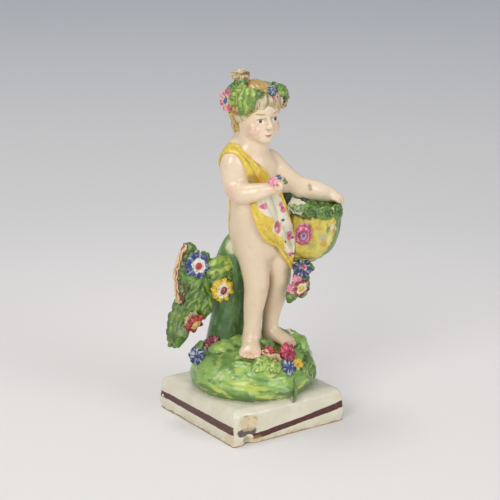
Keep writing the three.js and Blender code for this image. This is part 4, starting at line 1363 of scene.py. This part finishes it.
def pressTogether(name, parts, materials):
    # each part is (form, matrix, scale, bend, material number); all are pressed into one another
    bm = bmesh.new()
    marks, shades = [], []
    for number, (form, matrix, scale, bend, shade) in enumerate(parts):
        copy = forms[form].data.copy()
        co, normal = readPoints(copy)
        marks.append(np.stack(paintMarks(co, form, number), axis=1))
        shades.append(np.full(len(co), shade))
        co = co * np.array(scale) + normal * (0.26 * cloud(co, 1.9, number * 3.7))[:, None]
        co[:, 2] -= bend * (co[:, 1] / 10) ** 2
        co += pressing["unevenness"] * np.stack([cloud(co, 4.0, number + 9.0 * i) for i in range(3)], axis=1)
        movePoints(copy, co)
        copy.transform(matrix)
        bm.from_mesh(copy)
        bpy.data.meshes.remove(copy)
    piece = newPiece(name, bm)
    source, _ = readPoints(piece.data)
    tree = KDTree(len(source))
    for i, point in enumerate(source):
        tree.insert(point, i)
    tree.balance()
    fuse(piece, pressing["sprigVoxel"], soften=1)
    mesh = piece.data
    co, normal = readPoints(mesh)
    nearest = np.array([tree.find(point)[1] for point in co])
    marks, shades = np.concatenate(marks)[nearest], np.concatenate(shades)[nearest]
    for column, key in enumerate(("first", "second", "stroke")):
        writeAttribute(mesh, key, marks[:, column])
    movePoints(mesh, co + normal * (0.12 * marks[:, 2] + 0.1 * cloud(co, 1.1))[:, None])
    starts = np.empty(len(mesh.polygons), np.int32)
    corners = np.empty(len(mesh.loops), np.int32)
    mesh.polygons.foreach_get("loop_start", starts)
    mesh.loops.foreach_get("vertex_index", corners)
    mesh.materials.clear()
    for material in materials:
        mesh.materials.append(material)
    mesh.polygons.foreach_set("material_index", shades[corners[starts]].astype(np.int32))
    return finishPiece(piece, None)


def leafGlaze(name):
    mid, dark, light, edge = (tint(*seen) for seen in greens[name])
    glaze = Enamel(name + "Enamel", mid)
    across, stroke = glaze.maths("ABSOLUTE", glaze.attribute("first")), glaze.attribute("stroke")
    glaze.clouds(dark, 0.8, 0.46, 0.64, 3.0, 2.0)
    glaze.clouds(light, 0.55, 0.54, 0.68, 3.4, 2.0, shift=8.0)
    glaze.coat(dark, glaze.ease(stroke, -0.04, -0.34), 0.75)
    glaze.coat(light, glaze.ease(stroke, 0.08, 0.42), 0.5)
    glaze.clouds(dark, 0.4, 0.58, 0.74, 1.6, 2.0, shift=15.0)
    glaze.coat(dark, glaze.ease(across, 0.12, 0.03), 0.45)
    glaze.coat(edge, glaze.ease(glaze.wavy(across, 0.6, 1.6), 1.0, 1.3), 0.6)
    glaze.clouds(leafWear["autumn"], 0.5, 0.62, 0.72, 2.4, 3.0, shift=27.0)
    glaze.clouds(leafWear["bare"], 0.7, 0.7, 0.78, 2.0, 2.0, shift=21.0)
    if name == "frosted":  # the cream end under the forearm
        high = glaze.wavy(glaze.axis("Z"), 2.4, 2.2, shift=5.0)
        glaze.coat(leafWear["frost"], glaze.ease(high, 90.7, 91.7), 0.85)
    # dark glaze pooled in the gaps between leaves, and painted shade there
    glaze.pool(leafWear["pooledGlazeAndShade"], 0.2, 0.85)
    return glaze.done(ripple=0.03, rippleSize=0.9)


def bloomGlaze(name):
    petal, between, ring, heart = (tint(*seen) for seen in blooms[name][:4])
    ringAt, heartAt = blooms[name][4:]
    glaze = Enamel(name + "BloomEnamel", petal)
    out, stroke = glaze.attribute("first"), glaze.attribute("stroke")
    distance = glaze.maths("SUBTRACT", glaze.wavy(out, 0.5, 2.0, 1.0), 0.25)
    shadow = tuple(channel * 0.45 for channel in petal[:3]) + (1,)
    glaze.coat(shadow, glaze.ease(stroke, -0.04, -0.3), 0.7)
    glaze.coat(between, glaze.ease(stroke, 0.12, 0.34), 0.75)
    glaze.clouds(between, 0.45, 0.42, 0.56, 1.3, within=glaze.ease(glaze.attribute("second"), -0.5, -0.95))
    glaze.coat(between, glaze.ease(out, 0.94, 1.06), 0.5)
    if name == "rose":  # petals within petals
        wave = glaze.maths("SINE", glaze.wavy(glaze.times(out, 17.0), 13.0, 1.9, shift=3.0))
        glaze.coat(between, glaze.ease(wave, 0.3, 0.9), 0.75)
        glaze.coat(bloomTouches["rosePale"], glaze.ease(wave, -0.4, -0.95), 0.6)
        glaze.dab(bloomTouches["roseDeep"], 0.85, (10.9, -17.6, 78.0), (0.9, 1.8, 1.4), 0.6, ragged=0.4)
    if name == "crimsonBud":
        low = glaze.wavy(glaze.axis("Z"), 3.0, 1.6, shift=3.0)
        glaze.coat(bloomTouches["crimsonLow"], glaze.ease(low, 31.4, 29.8), 0.75)
    glaze.coat(ring, glaze.ease(distance, ringAt + 0.09, ringAt + 0.01))
    inRing = glaze.ease(distance, ringAt + 0.02, ringAt - 0.06)
    glaze.clouds(petal, 0.6, 0.56, 0.66, 0.7, shift=6.0, within=inRing)
    glaze.coat(heart, glaze.ease(out, heartAt + 0.08, heartAt + 0.02))
    if name == "cream":  # painted shade in the topknot's brown recess and a painted highlight on its pale top
        glaze.dab(bloomTouches["topknotRecessShade"], 0.85, (-1.9, -0.4, 141.3), (3.6, 3.0, 0.8), 0.6, ragged=0.5)
        glaze.dab(bloomTouches["topknotHighlight"], 0.8, (-4.0, 1.6, 143.0), (2.6, 3.0, 1.0), 0.6, ragged=0.5)
    # glaze pooled in the gaps between petals, and painted shade there
    glaze.pool(bloomTouches["pooledGlazeAndShade"], 0.2, 0.75)
    return glaze.done(ripple=0.03, rippleSize=0.9)


paints = {name: leafGlaze(name) for name in greens} | {name: bloomGlaze(name) for name in blooms}

# leaves: colour, form, stem, tip, facing, width, bend
# flowers: colour, centre, facing, radius, petals
sprigs = {
    "spray": {
        "leaves": [
            ("leafGreen", "broad", (-24.2, 9.8, 57.0), (-22.2, 9.8, 72.4), (-0.1, -1, 0.1), 9.0, 0.8),
            ("leafGreen", "oak", (-21.0, 9.2, 56.0), (-14.6, 8.6, 68.0), (0, -1, 0.1), 8.0, 0.6),
            ("limeGreen", "plain", (-17.4, 7.6, 62.8), (-3.6, 2.6, 63.8), (-0.2, -1, 0.15), 7.4, 0.6),
            ("leafGreen", "oak", (-15.6, 6.8, 58.6), (-3.8, 2.8, 58.2), (-0.1, -1, -0.1), 7.0, 0.6),
            ("leafGreen", "broad", (-17.4, 8.8, 59.0), (-24.4, 8.4, 43.8), (0, -1, 0), 9.4, 0.6),
            ("leafGreen", "oak", (-15.6, 8.6, 53.0), (-16.8, 8.4, 40.6), (0, -1, -0.1), 7.0, 0.6),
            ("leafGreen", "plain", (-26.6, 11.2, 49.0), (-29.2, 12.4, 30.2), (-0.15, -1, -0.05), 9.2, 0.6),
            ("leafGreen", "plain", (-25.4, 10.8, 48.6), (-27.4, 11.6, 30.4), (0.1, -1, -0.05), 9.2, 0.6),
            ("plainGreen", "broad", (-20.0, 13.2, 50.0), (-22.0, 13.6, 70.0), (0, 1, 0.1), 12.0, 0.6),
            ("plainGreen", "broad", (-20.0, 13.2, 56.0), (-28.0, 13.8, 36.0), (0, 1, -0.1), 11.0, 0.6),
        ],
        "flowers": [
            ("blue", (-21.4, 7.4, 65.0), (-0.15, -1, 0.1), 5.7, 6),
            ("yellow", (-11.6, 4.2, 53.7), (-0.1, -1, 0.05), 5.5, 8),
            ("cream", (-23.4, 8.8, 42.2), (0.0, -0.9, -0.2), 3.6, 5),
            ("red", (-22.3, 7.8, 40.6), (0.1, -0.9, -0.45), 4.7, 6),
        ],
    },
    "wreath": {
        "leaves": [
            ("limeGreen", "plain", (-6.8, -7.6, 137.4), (-9.6, -8.4, 127.3), (-0.5, -0.85, 0.1), 6.8, 0.8),
            ("darkGreen", "oak", (-6.6, -7.4, 135.2), (-1.0, -9.8, 134.8), (-0.3, -1, 0.3), 3.8, 0.3),
            ("leafGreen", "oak", (-7.6, -2.4, 132.0), (-5.0, 2.2, 140.2), (-0.85, -0.4, 0.5), 6.4, 0.4),
            ("limeGreen", "broad", (-6.8, -6.2, 137.4), (-9.8, 0.6, 130.0), (-0.95, -0.3, 0.15), 6.2, 0.4),
            ("limeGreen", "oak", (-7.4, -5.6, 132.6), (-8.8, 0.2, 136.4), (-0.85, -0.35, 0.4), 5.6, 0.4),
            ("leafGreen", "broad", (9.4, -6.6, 136.0), (11.4, -6.6, 129.8), (0.6, -0.8, 0.2), 4.0, 0.4),
            ("leafGreen", "oak", (4.6, -9.6, 135.2), (10.4, -6.6, 134.6), (0.4, -0.9, 0.3), 4.8, 0.3),
            ("leafGreen", "broad", (9.6, -4.8, 134.0), (11.6, 2.6, 132.6), (1, 0, 0.25), 6.4, 0.4),
            ("plainGreen", "oak", (10.8, 1.6, 133.2), (8.2, 8.2, 132.4), (0.85, 0.5, 0.25), 6.2, 0.4),
            ("plainGreen", "broad", (7.8, 7.6, 132.8), (0.6, 11.0, 131.8), (0.35, 0.95, 0.2), 6.4, 0.4),
            ("plainGreen", "oak", (1.6, 10.6, 132.6), (-5.6, 8.6, 131.8), (-0.35, 0.95, 0.2), 6.2, 0.4),
            ("plainGreen", "broad", (-4.4, 9.2, 133.0), (-8.8, 4.0, 133.6), (-0.8, 0.6, 0.25), 5.8, 0.4),
        ],
        "flowers": [
            ("pink", (-9.2, 3.8, 130.8), (-1, 0.0, 0.08), 4.7, 7),
            ("slate", (2.0, -10.6, 136.2), (-0.1, -1, 0.3), 2.6, 6),
            ("pink", (4.2, -10.4, 133.3), (0.2, -1, 0), 1.9, 5),
            ("maroon", (11.3, -6.4, 129.6), (0.5, -0.9, 0), 1.0, 5),
            ("cream", (10.6, -6.6, 128.4), (0.4, -0.9, -0.2), 1.5, 5),
            ("cream", (-4.0, 2.7, 140.3), (-0.05, -0.1, 1), 4.2, 5),
            ("cream", (-3.4, 2.4, 141.8), (0.1, -0.2, 1), 2.3, 5),
            ("yellow", (-8.6, 2.6, 126.2), (-1, -0.3, -0.2), 1.6, 5),
            ("rose", (9.8, 5.4, 132.4), (0.9, 0.5, 0.2), 3.4, 6),
            ("yellow", (2.2, 11.6, 132.4), (-0.1, 1, 0.2), 3.4, 6),
        ],
    },
    "basket": {
        "leaves": [
            ("frosted", "oak", (9.8, -11.2, 90.2), (15.2, -17.0, 87.0), (-0.6, -0.8, 0.5), 5.4, 0.6),
            ("darkGreen", "oak", (12.4, -14.0, 87.6), (18.4, -19.8, 86.4), (-0.7, -0.8, 0.3), 5.0, 0.4),
            ("darkGreen", "broad", (17.0, -19.2, 86.6), (25.0, -20.6, 85.6), (-0.1, -1, 0.3), 5.0, 0.4),
            ("darkGreen", "oak", (23.6, -20.2, 86.0), (30.2, -17.4, 84.8), (0.3, -1, 0.3), 5.0, 0.4),
            ("leafGreen", "broad", (28.8, -17.4, 85.4), (32.0, -11.0, 84.8), (0.8, -0.6, 0.25), 4.6, 0.2),
            ("plainGreen", "oak", (31.8, -12.0, 85.2), (31.0, -5.0, 84.6), (1, 0.1, 0.2), 5.2, 0.4),
            ("plainGreen", "broad", (30.4, -4.8, 85.2), (24.0, -0.8, 84.6), (0.4, 0.95, 0.2), 5.6, 0.4),
            ("plainGreen", "oak", (22.4, -0.6, 85.2), (14.8, -4.2, 84.6), (-0.5, 0.9, 0.2), 5.6, 0.4),
            # painted shadow: leaves in the shade between the forearm and the drape
            ("shadeGreen", "broad", (9.0, -6.0, 91.8), (14.6, -9.6, 88.6), (-0.5, -0.8, 0.3), 6.4, 0.3),
            ("shadeGreen", "plain", (11.0, -9.0, 88.6), (19.6, -12.0, 88.4), (-0.4, -0.7, 0.6), 6.0, 0.4),
            ("darkGreen", "broad", (13.0, -9.0, 88.6), (20.0, -17.0, 88.2), (-0.4, -0.5, 0.9), 7.4, 0.8),
            ("darkGreen", "oak", (17.0, -7.4, 89.0), (25.0, -2.4, 87.0), (0, 0.3, 1), 7.6, 0.8),
            # painted shadow: a leaf in the shade under the forearm
            ("shadeGreen", "oak", (17.6, -9.0, 89.6), (26.4, -16.6, 88.2), (0, -0.5, 0.9), 7.2, 0.6),
            ("leafGreen", "broad", (23.0, -10.0, 89.0), (30.8, -14.4, 87.2), (0.2, -0.5, 0.9), 6.6, 0.6),
            ("darkGreen", "oak", (19.6, -12.0, 88.8), (27.6, -17.2, 87.2), (0.1, -0.7, 0.7), 5.0, 0.4),
            ("darkGreen", "oak", (22.8, -8.0, 88.6), (30.6, -5.4, 86.2), (0.3, 0.3, 0.9), 6.8, 0.8),
        ],
        "flowers": [
            ("rose", (12.4, -17.2, 78.2), (-0.6, -0.8, -0.1), 3.6, "rosette"),
        ],
    },
    "hanging": {
        "leaves": [
            ("leafGreen", "broad", (10.8, -12.8, 54.6), (9.6, -13.0, 48.8), (-0.4, -0.9, 0), 4.4, 0.4),
            ("leafGreen", "oak", (16.4, -13.8, 58.0), (14.4, -14.4, 50.6), (0.3, -0.95, -0.1), 4.8, 0.3),
            ("leafGreen", "oak", (15.0, -12.8, 62.6), (20.2, -14.4, 62.8), (0, -0.8, 0.6), 3.6, 0.2),
            ("darkGreen", "oak", (15.4, -13.8, 62.0), (16.8, -13.4, 53.6), (0.3, -0.95, 0), 3.8, 0.4),
        ],
        "flowers": [
            ("blueWashed", (14.2, -14.6, 63.2), (-0.2, -0.8, 0.7), 4.4, 6),
            ("pinkPale", (11.4, -14.8, 59.4), (-0.35, -0.95, 0), 2.5, 5),
            ("pinkPale", (9.8, -14.0, 55.8), (-0.5, -0.85, 0), 2.3, 5),
            ("maroonRing", (12.8, -15.4, 55.4), (-0.2, -1, -0.1), 4.1, 7),
        ],
    },
    "posy": {
        "leaves": [
            ("plainGreen", "plain", (1.4, -17.0, 100.4), (4.6, -17.4, 100.8), (0, -0.8, 0.6), 1.6, 0.2),
        ],
        "flowers": [
            ("pinkPale", (-1.4, -16.4, 101.6), (-0.4, -0.8, 0.5), 2.2, 5),
            ("pale", (1.2, -16.2, 102.2), (-0.1, -0.6, 0.8), 1.9, 5),
            ("blueBud", (0.9, -16.6, 103.2), (-0.1, -0.7, 0.7), 1.1, 5),
            ("pinkPale", (0.6, -17.4, 100.7), (-0.1, -0.9, 0.4), 1.3, 5),
            ("cream", (3.2, -17.0, 101.4), (0.2, -0.8, 0.6), 1.6, 5),
        ],
    },
    "mound": {
        "leaves": [
            ("limeGreen", "oak", (-3.6, -17.0, 29.4), (-12.2, -19.4, 27.8), (-0.3, -0.7, 0.7), 6.2, 0.6),
            ("limeGreen", "broad", (-2.6, -18.4, 27.4), (-9.2, -21.6, 24.2), (-0.2, -0.85, 0.5), 5.4, 0.6),
            ("limeGreen", "oak", (-0.6, -19.0, 28.2), (-5.0, -21.8, 25.2), (-0.2, -0.8, 0.6), 5.2, 0.6),
            ("leafGreen", "plain", (2.0, -11.8, 31.6), (-2.6, -9.8, 34.6), (0, -0.8, 0.6), 3.6, 0.2),
            ("darkGreen", "oak", (8.6, 4.0, 33.6), (19.0, -2.8, 33.0), (0.5, 0.3, 0.8), 4.4, 0.4),
            ("frosted", "oak", (16.4, -0.8, 32.8), (20.8, -5.8, 30.0), (0.6, -0.2, 0.8), 4.6, 0.4),
            ("leafGreen", "oak", (19.0, -4.0, 30.6), (21.6, -7.6, 25.4), (0.75, -0.35, 0.6), 5.4, 0.4),
            ("darkGreen", "oak", (16.8, -7.8, 30.0), (19.8, -11.6, 25.0), (0.6, -0.6, 0.6), 6.0, 0.4),
            ("frosted", "oak", (20.4, -8.0, 26.6), (22.4, -9.6, 20.4), (0.8, -0.45, 0.3), 5.4, 0.3),
            ("darkGreen", "oak", (19.0, -11.4, 25.2), (21.2, -12.0, 16.8), (0.75, -0.6, 0.2), 5.6, 0.3),
            ("leafGreen", "broad", (15.8, -14.8, 25.4), (18.0, -16.4, 16.4), (0.5, -0.8, 0.4), 6.6, 0.4),
            ("leafGreen", "oak", (11.8, -17.8, 25.0), (14.0, -20.2, 16.6), (0.4, -0.9, 0.4), 5.6, 0.4),
            ("plainGreen", "plain", (4.8, -23.2, 21.6), (2.2, -26.6, 13.2), (-0.1, -1, 0.4), 1.6, 0.1),
            ("darkGreen", "oak", (-12.0, 5.4, 29.0), (-20.4, 5.4, 24.4), (-0.6, -0.6, 0.6), 5.0, 0.6),
            ("leafGreen", "oak", (-15.0, 13.0, 30.0), (-20.6, 14.0, 23.0), (-0.8, 0.1, 0.6), 6.4, 0.6),
            ("leafGreen", "broad", (10.0, 16.0, 29.0), (16.0, 18.0, 22.0), (0.6, 0.6, 0.6), 7.0, 0.6),
        ],
        "flowers": [
            ("blueBud", (-21.4, 8.2, 26.6), (-0.7, -0.7, 0.3), 3.7, 6),
            ("maroonBud", (-14.8, 7.0, 30.9), (-0.45, -0.8, 0.5), 3.5, 6),
            ("redBud", (-2.2, -15.4, 31.0), (-0.1, -0.75, 0.65), 3.5, 6),
            ("cream", (-1.4, -18.0, 29.0), (-0.2, -0.9, 0.1), 2.8, 5),
            ("cream", (-4.4, -16.4, 30.0), (-0.3, -0.8, 0.4), 1.9, 5),
            ("crimsonBud", (6.2, -16.0, 29.7), (0.2, -0.85, 0.45), 4.4, 7),
            ("blueBud", (2.6, -21.6, 25.9), (-0.2, -0.95, 0.2), 3.6, 6),
            ("yellowBud", (8.2, -19.7, 25.6), (0.0, -0.95, 0.3), 2.9, 5),
        ],
    },
}


def makeSprigs(group, leaves, flowers):
    used = sorted({leaf[0] for leaf in leaves} | {flower[0] for flower in flowers})
    parts = []
    for shade, form, stem, tip, facing, width, bend in leaves:
        run = Vector(tip) - Vector(stem)
        scale = (width / 6, run.length / 10, 1.0)
        parts.append((form, standing(stem, facing, run), scale, bend, used.index(shade)))
    for shade, centre, facing, radius, petals in flowers:
        size = radius / 5
        scale = (size, size * (1.4 if petals == "rosette" else 1.0), max(size, 0.5))
        parts.append((petals, standing(centre, facing, (0.3, 0, 1)), scale, 0.0, used.index(shade)))
    pressTogether(group + "Sprigs", parts, [paints[shade] for shade in used])


for group, parts in sprigs.items():
    makeSprigs(group, parts["leaves"], parts["flowers"])
for form in forms.values():
    bpy.data.objects.remove(form)
print("leaves and flowers made")


# the flower basket, and the clay that carries the sprays

basket = {
    "middle": (23.0, -10.6),
    # height, radius and how far it leans towards the body
    "profile": [
        (64.4, 3.8, 3.2), (64.8, 4.6, 3.2), (65.6, 4.9, 3.2), (66.2, 4.8, 3.1), (66.8, 5.9, 3.0),
        (67.8, 7.0, 2.8), (69.0, 7.9, 2.6), (71.0, 8.9, 2.1), (74.0, 10.0, 1.3), (78.0, 10.6, 0.65),
        (82.0, 10.5, 0.1), (85.0, 10.0, 0.0), (86.6, 9.2, 0.0), (87.0, 7.6, 0.0),
    ],
    "ribs": 22,
    # clay that holds the basket to the hip and the drape: sides, stations
    "struts": [
        (16, [(10.6, -6.0, 79.0, 2.2, 4.6), (14.0, -9.0, 79.0, 3.0, 5.0), (18.0, -10.6, 79.0, 4.4, 5.0)]),
        (16, [(9.0, -4.4, 69.6, 3.4, 2.6), (14.0, -6.8, 71.6, 3.6, 2.8), (20.0, -9.4, 72.6, 4.4, 3.4)]),
        (18, [(10.8, -5.8, 68.2, 2.0, 2.8), (14.8, -8.2, 67.2, 2.4, 3.2), (18.6, -10.0, 66.8, 3.0, 2.6)]),
    ],
    "voxel": 0.34,
    # painted touches: centre, half-sizes, colour
    "dabs": [
        ((13.6, -16.4, 84.4), (2.6, 2.6, 0.9), tint(112, 60, 44)),
        ((21.8, -21.0, 79.4), (1.0, 2.4, 1.9), tint(104, 122, 96)),
        ((23.8, -21.0, 80.4), (1.0, 2.4, 1.4), tint(214, 208, 186)),
        ((24.8, -21.0, 78.6), (0.8, 2.4, 1.0), tint(196, 124, 56)),
        ((19.6, -20.8, 76.4), (1.6, 2.4, 2.0), tint(180, 178, 140)),
        ((20.6, -20.4, 73.6), (1.3, 2.4, 1.5), tint(204, 150, 60)),
        ((17.4, -20.0, 80.4), (1.4, 2.4, 0.9), tint(202, 160, 84)),
        ((26.4, -20.8, 79.8), (1.1, 2.4, 2.4), tint(222, 214, 186)),
        ((23.0, -21.0, 75.0), (1.4, 2.4, 2.6), tint(228, 214, 130)),
        ((16.0, -19.0, 73.0), (1.6, 2.4, 2.2), tint(172, 168, 84)),
    ],
    "yellow": tint(208, 190, 80),
    "ochre": tint(180, 150, 60),
    "lemon": tint(220, 204, 102),
    "filling": tint(84, 112, 54),
    "green": tint(112, 144, 70),
    "deepGreen": tint(74, 106, 52),
    "foot": tint(206, 178, 84),
    "footLine": tint(84, 70, 40),
    "strut": tint(200, 190, 160),
    "pooledGlazeAndShade": tint(140, 112, 50),
}


def makeBasket():
    x, y = basket["middle"]
    bm = bmesh.new()
    wall = [(x - lean, y + lean * 0.5, z, radius, radius) for z, radius, lean in basket["profile"]]
    loft(bm, wall, sides=64)
    egg(bm, (x - 1.4, y + 0.8, 84.4), (8.8, 7.8, 4.0))
    for sides, stations in basket["struts"]:
        loft(bm, stations, ahead=upward, sides=sides)
    piece = newPiece("wovenBasket", bm)
    fuse(piece, basket["voxel"], soften=2)
    co, normal = readPoints(piece.data)
    heights, _, leans = zip(*basket["profile"])
    z = co[:, 2]
    lean = np.interp(z, heights, leans)
    across, back = co[:, 0] - x + lean, co[:, 1] - y - lean * 0.5
    angle, out = np.arctan2(back, across), np.hypot(back, across)
    # only the basket's side is woven, between its foot and its rim
    woven = np.clip((out - 6.4) / 1.5, 0, 1) * np.clip((86.0 - z) / 1.5, 0, 1)
    woven *= np.clip((z - 67.5) / 1.5, 0, 1)
    painted = (across * 0.95 - back * 0.31) / np.maximum(out, 5.0) * np.clip(out / 6.0, 0, 1)
    writeAttribute(piece.data, "greenSide", painted)
    weave = np.cos(angle * basket["ribs"]) * 0.1 + 0.04 * np.cos(z * 2.6)
    movePoints(piece.data, co + normal * (weave * woven + 0.12 * cloud(co, 2.4))[:, None])
    return piece


def basketGlaze():
    glaze = Enamel("basketEnamel", basket["yellow"])
    glaze.clouds(basket["lemon"], 0.6, 0.45, 0.62, 4.0)
    glaze.clouds(basket["ochre"], 0.6, 0.52, 0.68, 1.8, 3.0, (1, 1, 2.5), 4.0)
    z = glaze.axis("Z")
    top = glaze.wavy(z, 3.0, 2.0, shift=1.0)
    glaze.coat(basket["filling"], glaze.ease(top, 85.4, 86.4))
    for centre, size, shade in basket["dabs"]:
        glaze.dab(shade, 0.85, centre, size, 0.6, ragged=2.6, size=1.7)
    turned = glaze.wavy(glaze.attribute("greenSide"), 0.3, 2.0)
    turned = glaze.maths("MULTIPLY_ADD", glaze.ease(z, 76.0, 67.5), 0.14, turned)
    green = glaze.times(glaze.ease(turned, 0.7, 0.78), glaze.ease(z, 66.6, 67.4))
    glaze.coat(basket["green"], green, 0.95)
    glaze.clouds(basket["deepGreen"], 0.7, 0.48, 0.6, 1.6, 3.0, shift=2.0, within=green)
    glaze.coat(basket["foot"], glaze.ease(z, 66.8, 66.2), 0.8)
    for level in (65.0, 66.4):
        wavy = glaze.wavy(z, 0.5, 1.2)
        off = glaze.maths("ABSOLUTE", glaze.maths("SUBTRACT", wavy, level + 0.25))
        glaze.coat(basket["footLine"], glaze.ease(off, 0.4, 0.16), 0.75)
    glaze.dab(basket["strut"], 0.9, (9.0, -4.4, 69.0), (5.0, 5.0, 5.0), 0.6, ragged=0.4)
    # glaze pooled in the weave and joins, and painted shade there
    glaze.pool(basket["pooledGlazeAndShade"], 0.14, 0.45)
    return glaze.done(ripple=0.02, rippleSize=1.0)


clay = {
    "voxel": 0.34,
    # the thick clay behind the sprays, left mostly green: sides, which way it faces, stations
    "lumps": [
        (24, backward, [
            (-4.0, 9.6, 58.0, 3.4, 2.2), (-10.0, 8.6, 58.6, 6.0, 2.6), (-17.0, 10.4, 59.0, 7.6, 1.9),
            (-24.6, 11.4, 58.6, 6.6, 1.6), (-27.6, 11.8, 58.2, 4.6, 1.3),
        ]),
        (28, forward, [
            (-23.0, 11.6, 73.2, 1.6, 1.4), (-22.8, 11.6, 70.6, 4.0, 1.9), (-23.0, 11.6, 66.0, 5.6, 2.1),
            (-23.8, 11.8, 61.0, 6.1, 2.1), (-24.0, 11.8, 58.8, 5.9, 2.0),
        ]),
        (28, forward, [
            (-22.2, 11.4, 60.0, 6.0, 1.9), (-22.6, 11.6, 57.4, 7.0, 2.1), (-22.4, 11.6, 52.0, 6.8, 2.1),
            (-22.6, 11.6, 47.4, 5.6, 2.0), (-22.0, 11.2, 44.0, 3.0, 1.6),
        ]),
        (18, forward, [
            (-15.0, 9.8, 57.0, 4.0, 1.8), (-15.6, 9.6, 50.0, 3.4, 1.7), (-16.2, 9.4, 44.0, 2.2, 1.3),
        ]),
        (18, forward, [
            (15.6, -11.2, 64.6, 2.2, 2.0), (15.2, -12.4, 61.6, 3.0, 2.4), (13.4, -13.2, 57.6, 3.2, 2.2),
            (12.6, -13.2, 53.6, 2.2, 1.6),
        ]),
    ],
    "green": tint(106, 138, 70),
    "deep": tint(72, 104, 50),
    "lime": tint(168, 188, 96),
    "brownEdge": tint(88, 58, 36),
    "bare": tint(212, 178, 130),
    "brownLine": tint(122, 80, 46),
    "barePale": tint(228, 206, 164),
    "pooledGlazeAndShade": tint(58, 62, 34),
}


def makeClay():
    bm = bmesh.new()
    for sides, ahead, stations in clay["lumps"]:
        loft(bm, stations, ahead=ahead, sides=sides)
    piece = newPiece("sprayClay", bm)
    fuse(piece, clay["voxel"])
    ripple(piece, (2.2, 0.25), (0.9, 0.08))
    co, normal = readPoints(piece.data)
    bare = np.where((co[:, 0] < -20) & (co[:, 2] > 44), -normal[:, 0], -1.0)
    writeAttribute(piece.data, "bareSide", bare)
    return piece


def clayGlaze():
    glaze = Enamel("clayEnamel", clay["green"])
    glaze.clouds(clay["deep"], 0.8, 0.45, 0.62, 2.6, 3.0)
    glaze.clouds(clay["lime"], 0.6, 0.56, 0.68, 2.0, 3.0, shift=6.0)
    side = glaze.wavy(glaze.attribute("bareSide"), 0.3, 1.6, shift=4.0)
    glaze.coat(clay["brownEdge"], glaze.ease(side, 0.3, 0.42))
    glaze.coat(clay["bare"], glaze.ease(side, 0.5, 0.62))
    glaze.coat(clay["brownLine"], glaze.times(glaze.ease(side, 0.7, 0.78), glaze.ease(side, 0.92, 0.84)), 0.9)
    glaze.clouds(clay["barePale"], 0.8, 0.4, 0.56, 2.4, within=glaze.ease(side, 0.9, 1.0))
    # glaze pooled in the hollows, and painted shade there
    glaze.pool(clay["pooledGlazeAndShade"], 0.16, 0.7)
    return glaze.done(ripple=0.02, rippleSize=1.2)


finishPiece(makeBasket(), basketGlaze())
finishPiece(makeClay(), clayGlaze())
print("basket and clay made")
